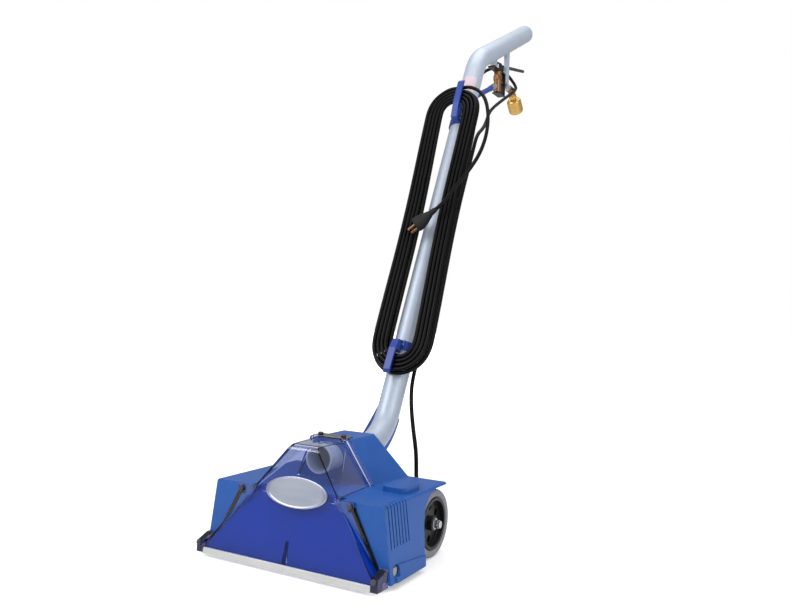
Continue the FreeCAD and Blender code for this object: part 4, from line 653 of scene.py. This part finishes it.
@dataclass
class BrushRoll:
    """The turning brush: a core with rows of nylon tufts."""

    middle: tuple = (0.0, -0.45675, 0.0263)
    core_radius: float = 0.0146
    tip_radius: float = 0.0260
    half_length: float = 0.1285
    rows_round: int = 22
    tufts_along: int = 42
    tuft_radius: float = 0.0011

    def tufts(self) -> bpy.types.Object:
        """All tufts in one skin.

        Tuft k of a row stands at an even step along the axle, with each row shifted by a share of
        a step so that the rows wind round the core. A tuft is a six-sided column whose circles
        widen towards its tip.
        """
        row, column = np.meshgrid(np.arange(self.rows_round), np.arange(self.tufts_along), indexing="ij")
        step = 2.0 * self.half_length / self.tufts_along
        along = -self.half_length + (column + 0.15 + 0.7 * ((row * 0.37) % 1.0)) * step
        angle = row * 2.0 * np.pi / self.rows_round + column * 0.05
        radial = np.stack([np.zeros_like(angle), np.cos(angle), np.sin(angle)], -1).reshape(-1, 3)
        tangent = np.stack([np.zeros_like(angle), -np.sin(angle), np.cos(angle)], -1).reshape(-1, 3)
        foot = np.array(self.middle) + along.reshape(-1, 1) * X_AXIS
        sides, circles = 6, 3
        around = np.linspace(0.0, 2.0 * np.pi, sides, endpoint=False)
        heights = np.array([self.core_radius, 0.6 * self.core_radius + 0.4 * self.tip_radius,
                            self.tip_radius - 0.2 * MM])
        widths = self.tuft_radius * np.array([0.8, 1.0, 1.45])
        circle = (np.cos(around)[None, :, None] * X_AXIS + np.sin(around)[None, :, None] * tangent[:, None, :])
        points = (foot[:, None, None, :] + heights[None, :, None, None] * radial[:, None, None, :]
                  + widths[None, :, None, None] * circle[:, None, :, :])
        count = len(foot)
        side = grid_faces(circles, sides, False, True)
        tip = foot + self.tip_radius * radial
        root = foot + self.core_radius * radial
        tip_number = sides * circles
        root_number = tip_number + 1
        each = np.concatenate([points.reshape(count, tip_number, 3), tip[:, None, :], root[:, None, :]], axis=1)
        here = np.arange(sides)
        there = (here + 1) % sides
        last = sides * (circles - 1)
        fan = np.vstack([np.stack([np.full(sides, tip_number), here + last, there + last], -1),
                         np.stack([np.full(sides, root_number), there, here], -1)])
        offsets = (np.arange(count) * (root_number + 1))[:, None, None]
        return mesh_piece("brush_tufts", each.reshape(-1, 3), (side[None] + offsets).reshape(-1, 4),
                          (fan[None] + offsets).reshape(-1, 3))

    def build(self, shop: FinishShop) -> None:
        """Dresses the core and adds the tufts."""
        shop.dress(DARK_STEEL, "brush_core")
        shop.finish_piece(self.tufts(), BRISTLE, "brush", ["brush_bristles"])


@dataclass
class WheelPair:
    """The two rear wheels: grey tyres on black hubs."""

    radius: float = 0.057
    depth: float = 0.014
    width: float = 0.028
    middle_x: float = 0.143
    axle_y: float = -0.29575
    axle_z: float = 0.057

    def tyre(self, name: str, side: float) -> bpy.types.Object:
        """A tyre: a rounded-rectangle section turned round the axle.

        Args:
            name: the piece's name.
            side: 1 for the right wheel and -1 for the left.

        Returns:
            The new object.
        """
        section = rounded_section(self.width / 2, self.depth / 2, 0.42, 40)
        section[:, 1] += self.radius - self.depth / 2
        crown = 0.0007 * (section[:, 0] / (self.width / 2)) ** 2
        section[:, 1] -= np.where(section[:, 1] > self.radius - self.depth / 2, crown, 0.0)
        start = np.array([side * self.middle_x, self.axle_y, self.axle_z])
        return turned(name, start, X_AXIS, section, sides=96, ring=True, crease=60.0)

    def build(self, shop: FinishShop) -> None:
        """Makes both tyres and dresses hubs, axles, washers and nuts."""
        for side, label in ((1.0, "right"), (-1.0, "left")):
            shop.dress(BLACK_PLASTIC, label + "_hub")
            shop.finish_piece(self.tyre(label + "_tyre_ring", side), GREY_TYRE, label + "_wheel", [label + "_tyre"])
        shop.dress(BRIGHT_STEEL, "wheel_axles", "axle_washers", "axle_nuts")


@dataclass
class SuctionTube:
    """The bent suction tube that is also the handle, with its hooks and a bare label."""

    radius: float = 0.02225
    wall: float = 0.0016
    mouth: tuple = (0.0, -0.41475, 0.163)
    elbow_corner: tuple = (0.0, -0.21214, 0.163)
    elbow_radius: float = 0.100
    bend_radius: float = 0.105
    grip_length: float = 0.354
    label_low: float = 0.683
    label_high: float = 0.727
    label_turn: float = 18.0
    label_half_turn: float = 38.0
    label_lift: float = 0.0003
    elbow_rings: int = 28
    bend_rings: int = 24

    def centre_line(self) -> tuple[np.ndarray, np.ndarray]:
        """The tube's middle line: straight, arc, straight, arc, straight.

        Returns:
            Points along the line, and the unit direction at each.
        """
        elbow_turn = math.pi / 2 - LEAN
        bend_turn = elbow_turn - GRIP
        first = self.elbow_radius * math.tan(elbow_turn / 2)
        second = self.bend_radius * math.tan(bend_turn / 2)
        corner = np.array(self.elbow_corner)
        turn = np.linspace(0.0, elbow_turn, self.elbow_rings)
        back = np.linspace(elbow_turn, GRIP, self.bend_rings)
        heading = np.concatenate([np.zeros(2), turn, back, np.full(2, GRIP)])
        directions = np.stack([np.zeros_like(heading), np.cos(heading), np.sin(heading)], -1)
        start = corner - Y_AXIS * first
        elbow = start + self.elbow_radius * np.stack([0 * turn, np.sin(turn), 1 - np.cos(turn)], -1)
        entry = GRIP_CORNER - LEAN_DIR * second
        centre = entry - FRONT_DIR * self.bend_radius
        bend = centre + self.bend_radius * np.stack([0 * back, -np.sin(back), np.cos(back)], -1)
        mouth = np.array(self.mouth)
        tip = GRIP_CORNER + GRIP_DIR * self.grip_length
        points = np.vstack([mouth, mouth + Y_AXIS * 0.002, elbow, bend, tip - GRIP_DIR * 0.002, tip])
        return points, directions

    def shell(self) -> bpy.types.Object:
        """The tube's skin: circles on its middle line, out along the outside and back along the bore."""
        points, directions = self.centre_line()
        angle = np.linspace(0.0, 2.0 * np.pi, 64, endpoint=False)
        up = np.cross(X_AXIS, directions)
        circle = np.cos(angle)[None, :, None] * X_AXIS + np.sin(angle)[None, :, None] * up[:, None, :]
        outer = np.full(len(points), self.radius)
        outer[[0, -1]] -= 0.0006
        outside = points[:, None, :] + outer[:, None, None] * circle
        inside = points[:, None, :] + (self.radius - self.wall) * circle
        return surface("suction_tube", np.concatenate([outside, inside[::-1]]), wrap_rows=True)

    def label(self) -> bpy.types.Object:
        """A thin bare label bent round the tube above the upper hook."""
        corner = rounded_section(1.0, 1.0, 0.25, 64)
        turn = math.radians(self.label_turn) + corner[:, 0] * math.radians(self.label_half_turn)
        middle, half = (self.label_low + self.label_high) / 2, (self.label_high - self.label_low) / 2
        steps = [(share, self.label_lift) for share in (0.02, 0.15, 0.3, 0.45, 0.6, 0.75, 0.9, 0.98)]
        steps += [(1.0, 0.0001), (1.0, -0.0004), (0.5, -0.0009), (0.02, -0.0009)]
        rings = []
        for share, lift in steps:
            angle = math.radians(self.label_turn) + share * (turn - math.radians(self.label_turn))
            reach = self.radius + lift
            rings.append(tube_point(middle + share * half * corner[:, 1],
                                    reach * np.cos(angle), reach * np.sin(angle)))
        return surface("tube_label", np.stack(rings), crease=50.0)

    def build(self, shop: FinishShop) -> None:
        """Makes the tube and its label, and dresses the mouth ring, clips, saddle and hooks."""
        shop.finish_piece(self.shell(), TUBE_ALUMINIUM, "head",
                          ["elbow_tube", "leaning_tube", "bend_tube", "grip_tube"])
        shop.finish_piece(self.label(), LABEL_PINK, "head")
        shop.dress(BRIGHT_ALUMINIUM, "mouth_ring", "hose_clips")
        shop.dress(COVER_BLUE, "tube_saddle")
        shop.dress(HOOK_BLUE, "upper_hook", "lower_hook")
        shop.dress(BRIGHT_STEEL, "hook_screws")


@dataclass
class HandleValve:
    """The brass valve under the grip, its lever, strut and quick connector."""

    def build(self, shop: FinishShop) -> None:
        """Dresses the valve's nodes."""
        shop.dress(BRASS, "valve_body", "inlet_elbow")
        shop.dress(PALE_BRASS, "quick_connect_body", "quick_connect_sleeve")
        shop.dress(TUBE_ALUMINIUM, "valve_tab", "rear_strut")
        shop.dress(BLACK_PLASTIC, "valve_frame")
        shop.dress(DARK_STEEL, "trigger_lever")
        shop.dress(BRIGHT_STEEL, "valve_stem", "trigger_pin", "outlet_ferrule")


def flexible_line(name: str, points: Sequence[tuple], radius: float) -> bpy.types.Object:
    """A smooth cord or hose: a quadratic spline on its route's points with a round section.

    Args:
        name: the piece's name.
        points: the route's control points in metres.
        radius: half the thickness.

    Returns:
        The curve object.
    """
    curve = bpy.data.curves.new(name, "CURVE")
    curve.dimensions = "3D"
    curve.bevel_depth = radius
    curve.bevel_resolution = 3
    curve.resolution_u = 10
    curve.use_fill_caps = True
    spline = curve.splines.new("NURBS")
    spline.points.add(len(points) - 1)
    values = np.ones((len(points), 4))
    values[:, :3] = points
    spline.points.foreach_set("co", values.ravel())
    spline.order_u = 3
    spline.use_endpoint_u = True
    piece = bpy.data.objects.new(name, curve)
    bpy.context.scene.collection.objects.link(piece)
    return piece


@dataclass
class SolutionLine:
    """The cleaning-solution hose from the rear of the cover to the valve, with its fittings."""

    radius: float = 0.006
    length: float = 1.086
    route: tuple = (
        (-0.1, -0.2477, 0.064), (-0.1, -0.2147, 0.064), (-0.095, -0.1898, 0.084),
        (-0.076, -0.1668, 0.142), (-0.045, -0.1517, 0.206), (-0.024, -0.1318, 0.268),
        (-0.017, -0.1095, 0.3255), (-0.016, -0.058, 0.4338), (-0.017, -0.0041, 0.5521),
        (-0.016, 0.0559, 0.6786), (-0.017, 0.1145, 0.8058), (-0.013, 0.1594, 0.8952),
        (-0.006, 0.1923, 0.922), (0.0, 0.2327, 0.9437), (0.0, 0.2651, 0.9594))

    def build(self, shop: FinishShop) -> None:
        """Makes the hose and dresses its fittings and the spray bar."""
        hose = flexible_line("solution_hose_line", self.route, self.radius)
        shop.finish_piece(hose, HOSE_BLUE, "head", ["solution_hose"])
        shop.dress(BRASS, "spray_nozzles", "hose_fitting")
        shop.dress(BRIGHT_STEEL, "spray_bar", "solution_line")


@dataclass
class PowerCord:
    """The mains cord: up from the cover, wound on the two hooks, and down to its plug."""

    radius: float = 0.0039
    pitch: float = 0.0085
    length: float = 14.5
    eighths: float = 71.0
    reverse: float = 37.0
    inner_half: float = 0.0255
    waist: float = 0.006
    top: float = 0.620
    bottom: float = 0.062
    skew: float = 0.03
    rear_front: float = 0.0274
    near_fold: float = 0.047
    riser: tuple = (
        (0.076, -0.2338, 0.084), (0.076, -0.2067, 0.084), (0.066, -0.1898, 0.108),
        (0.062, -0.1857, 0.15), (0.05, -0.1787, 0.192), (0.037, -0.1658, 0.236),
        (0.029, -0.1497, 0.28), (0.031, -0.11, 0.3588), (0.029, -0.0642, 0.4478),
        (0.03, -0.0187, 0.5479), (0.0285, 0.0295, 0.6468), (0.028, 0.0768, 0.7461),
        (0.022, 0.1262, 0.8334), (0.006, 0.1636, 0.9043), (-0.008, 0.1979, 0.9567),
        (-0.015, 0.2442, 0.993), (-0.0195, 0.3073, 1.023), (-0.02, 0.3603, 1.041),
        (-0.016, 0.3972, 1.041), (0.002, 0.4263, 1.013), (0.017, 0.3952, 0.989),
        (0.018, 0.3073, 0.943), (0.024, 0.2042, 0.888), (0.044, 0.1419, 0.8482), (0.058, 0.09, 0.8172),
        (0.0599, 0.0513, 0.7942), (0.0599, 0.0344, 0.7579))
    tail: tuple = (
        (-0.0024, 0.0979, 0.9146), (0.0236, 0.0979, 0.9146), (0.056, 0.088, 0.8931),
        (0.076, 0.0712, 0.8524), (0.086, 0.0472, 0.7985), (0.084, 0.0174, 0.7462),
        (0.071, -0.0158, 0.701), (0.052, -0.0407, 0.664), (0.043, -0.0558, 0.6376),
        (0.0237, -0.0607, 0.6209))
    plug_face: tuple = (-0.01600, -0.07081, 0.58649)
    plug_direction: tuple = (0.74253, 0.18838, 0.64278)
    gland_start: tuple = (0.076, -0.25975, 0.084)

    def hank(self) -> np.ndarray:
        """The wound part's control points, fourteen to a turn.

        A turn has three points on each run, one in its middle drawn in at the waist and one near
        each fold, and four corners of half an octagon round each fold. The half width is the inner
        one plus a pitch for each turn away from where the winding reverses, and there the cord
        climbs from the rear layer to the front one.
        """
        phase = np.array([0.2, 1.0, 1.8, 2.25, 2.75, 3.25, 3.75, 4.2, 5.0, 5.8, 6.25, 6.75, 7.25, 7.75])
        corner = math.tan(math.pi / 8)
        side = np.array([1, 1, 1, 1, corner, -corner, -1, -1, -1, -1, -1, -corner, corner, 1])
        fold = np.array([0, 0, 0, -corner, -1, -1, -corner, 0, 0, 0, corner, 1, 1, corner])
        high, low, middle = self.top, self.bottom, (self.top + self.bottom) / 2
        base = np.array([high - self.near_fold, middle, low + self.near_fold, low, low, low, low,
                         low + self.near_fold, middle, high - self.near_fold, high, high, high, high])
        drawn_in = self.waist * (base == middle)
        turns = int(self.eighths // 8) + 1
        k = (8.0 * np.arange(turns)[:, None] + phase).ravel()
        side, fold, base, drawn_in = (np.tile(v, turns) for v in (side, fold, base, drawn_in))
        half = self.inner_half + self.pitch * np.abs(k - self.reverse) / 8.0
        along = base + fold * half
        across = side * (half - drawn_in) - self.skew * (along - middle)
        front = self.rear_front + self.pitch * np.clip((k - self.reverse + 1) / 2, 0.0, 1.0)
        wound = (k > 0.5) & (k < self.eighths - 0.1)
        return tube_point(along, front, across)[wound]

    def gland(self) -> bpy.types.Object:
        """The ribbed relief, tapering along the cord."""
        ribs = [edge + 4 * k for k in range(5) for edge in (6.0, 6.4, 8.6, 9.0)]
        along = np.array([-6.0, 0.0, 0.0, 1.0, 4.2, 5.0, 5.0] + ribs + [26.0, 26.0])
        taper = 7.8 - (along - 5.0) * 0.125
        rib = np.array([0] * 7 + [-1.1, 0, 0, -1.1] * 5 + [0, 0])
        radius = np.where(along <= 5.0, 9.0, taper + rib)
        radius[[0, 1]] = 5.4
        radius[[3, 4]] = 9.0
        radius[2], radius[5], radius[6] = 8.2, 8.4, 7.4
        radius[-1] = 4.1
        profile = np.stack([along, radius], -1) * MM
        return turned("cord_relief", np.array(self.gland_start), Y_AXIS, profile)

    def plug(self) -> bpy.types.Object:
        """The moulded plug: rounded sections on its axis, wide at the face and ribbed at the neck.

        A section is a superellipse with a half width and a half depth for each place along the axis.
        """
        along = np.array([0.0, 0.6, 5.0, 12.0, 20.0, 24.0, 26.0, 31.0, 35.0, 37.5,
                          39.0, 41.0, 43.0, 45.0, 47.0, 49.0, 51.0, 53.5])
        wide = np.array([14.2, 15.0, 16.4, 16.0, 14.2, 13.2, 11.6, 9.4, 8.0, 7.4,
                         5.4, 6.2, 5.0, 5.8, 4.8, 5.4, 4.6, 4.3])
        deep = np.array([9.2, 10.0, 11.0, 10.6, 9.6, 9.2, 8.4, 7.4, 6.8, 6.4,
                         5.2, 6.0, 5.0, 5.7, 4.8, 5.3, 4.6, 4.3])
        axis = np.array(self.plug_direction)
        across = np.cross(axis, FRONT_DIR)
        across /= np.linalg.norm(across)
        up = np.cross(across, axis)
        angle = np.linspace(0.0, 2.0 * np.pi, 40, endpoint=False)
        cos, sin = np.cos(angle), np.sin(angle)
        round_cos = np.sign(cos) * np.abs(cos) ** 0.75
        round_sin = np.sign(sin) * np.abs(sin) ** 0.75
        offset = (along[:, None, None] * axis + wide[:, None, None] * round_cos[:, None] * across
                  + deep[:, None, None] * round_sin[:, None] * up)
        return surface("plug_moulding", np.array(self.plug_face) + offset * MM, crease=40.0)

    def build(self, shop: FinishShop) -> None:
        route = np.vstack([self.riser, self.hank(), self.tail])
        cord = flexible_line("mains_cord", route, self.radius)
        shop.finish_piece(cord, CORD_BLACK, "head", ["power_cord_riser", "power_cord_hank", "power_cord_tail"])
        shop.finish_piece(self.gland(), BLACK_RUBBER, "head", ["cord_gland"])
        plug = shop.finish_piece(self.plug(), BLACK_RUBBER, "head", ["power_plug"])
        shop.dress(BRASS, "plug_blades")


@dataclass
class Studio:
    """Floor, lamps, world and camera."""

    eye: tuple = (0.70717, -1.45272, 0.40534)
    yaw: float = 28.884
    pitch: float = 0.471
    roll: float = 2.040
    focal_px: float = 763.19
    frame_px: tuple = (792, 615)
    sensor_mm: float = 36.0
    floor_half: float = 14.0
    glow_reach: tuple = (0.5, 2.2)
    glow_strength: tuple = (0.30, 1.2)
    diffuse_light: float = 0.66
    gloss_light: float = 0.42
    lamp_target: tuple = (0.0, 0.0, 0.4)
    lamps: tuple = (("key_lamp", (-1.6, -2.6, 2.6), 1.8, 60.0), ("fill_lamp", (2.6, -1.4, 1.6), 1.8, 26.0),
                    ("top_lamp", (0.2, 0.4, 3.2), 2.4, 40.0))

    def floor(self) -> None:
        """A wide pale floor that keeps the object's shadow and looks white to the camera."""
        size = self.floor_half
        corners = np.array([[-size, -size, 0.0], [size, -size, 0.0], [size, size, 0.0], [-size, size, 0.0]])
        mesh = bpy.data.meshes.new("floor")
        mesh.from_pydata(corners.tolist(), [], [[0, 1, 2, 3]])
        material = bpy.data.materials.new("pale_floor")
        material.use_nodes = True
        w = Wiring(material.node_tree)
        shader = material.node_tree.nodes["Principled BSDF"]
        place = w.node("ShaderNodeTexCoord").outputs["Object"]
        speckle = w.noise(place, 40.0)
        away = w.feed(w.node("ShaderNodeVectorMath", operation="LENGTH"), {0: place}).outputs["Value"]
        glow = w.ramp(away, *self.glow_reach, *self.glow_strength)
        path = w.node("ShaderNodeLightPath")
        w.feed(shader, {"Base Color": w.mix(speckle, linear(238, 238, 238), linear(243, 243, 243)),
                        "Roughness": 0.8, "Emission Color": WHITE,
                        "Emission Strength": w.math("MULTIPLY", path.outputs["Is Camera Ray"], glow)})
        mesh.materials.append(material)
        floor = bpy.data.objects.new("studio_floor", mesh)
        bpy.context.scene.collection.objects.link(floor)

    def world(self) -> None:
        """A world that looks white to the camera and through clear plastic, dimmer in gloss, and lights softly."""
        world = bpy.data.worlds.new("studio_world")
        bpy.context.scene.world = world
        world.use_nodes = True
        w = Wiring(world.node_tree)
        back = world.node_tree.nodes["Background"]
        path = w.node("ShaderNodeLightPath")
        seen = w.math("MAXIMUM", path.outputs["Is Camera Ray"], path.outputs["Is Transmission Ray"])
        unseen = w.ramp(path.outputs["Is Glossy Ray"], 0.0, 1.0, self.diffuse_light, self.gloss_light)
        w.feed(back, {"Color": WHITE, "Strength": w.ramp(seen, 0.0, 1.0, unseen, 1.0)})

    def lamp(self, name: str, place: tuple, size: float, power: float) -> None:
        """A soft square lamp that looks at the lamps' target: side in metres, power in watts."""
        data = bpy.data.lights.new(name, "AREA")
        data.size = size
        data.energy = power
        lamp = bpy.data.objects.new(name, data)
        away = np.array(place) - np.array(self.lamp_target)
        away /= np.linalg.norm(away)
        right, up = square_to(away)
        lamp.matrix_world = Matrix([[right[i], up[i], away[i], place[i]] for i in range(3)] + [[0, 0, 0, 1]])
        bpy.context.scene.collection.objects.link(lamp)

    def camera(self) -> None:
        """The camera at the photograph's place, with its heading, tilt and roll."""
        yaw, pitch, roll = (math.radians(v) for v in (self.yaw, self.pitch, self.roll))
        forward = np.array([-math.sin(yaw) * math.cos(pitch), math.cos(yaw) * math.cos(pitch), math.sin(pitch)])
        right = np.array([math.cos(yaw), math.sin(yaw), 0.0])
        up = np.cross(right, forward)
        turned_right = math.cos(roll) * right + math.sin(roll) * up
        turned_up = -math.sin(roll) * right + math.cos(roll) * up
        data = bpy.data.cameras.new("photo_camera")
        data.sensor_width = self.sensor_mm
        data.lens = self.focal_px / self.frame_px[0] * self.sensor_mm
        camera = bpy.data.objects.new("photo_camera", data)
        columns = (turned_right, turned_up, -forward, np.array(self.eye))
        camera.matrix_world = Matrix([[float(c[i]) for c in columns] for i in range(3)] + [[0, 0, 0, 1]])
        bpy.context.scene.collection.objects.link(camera)
        bpy.context.scene.camera = camera

    def build(self) -> None:
        """Sets up the whole studio."""
        bpy.context.scene.view_settings.view_transform = "Standard"
        self.floor()
        self.world()
        for lamp in self.lamps:
            self.lamp(*lamp)
        self.camera()


def main() -> None:
    """Builds every sub-assembly in order, then the studio."""
    shop = FinishShop()
    for assembly in (CoverAndChassis(), SuctionShoe(), BrushRoll(), WheelPair(), SuctionTube(), HandleValve(),
                     SolutionLine(), PowerCord()):
        log.info("building %s", type(assembly).__name__)
        assembly.build(shop)
    Studio().build()


if __name__ == "__main__":
    main()
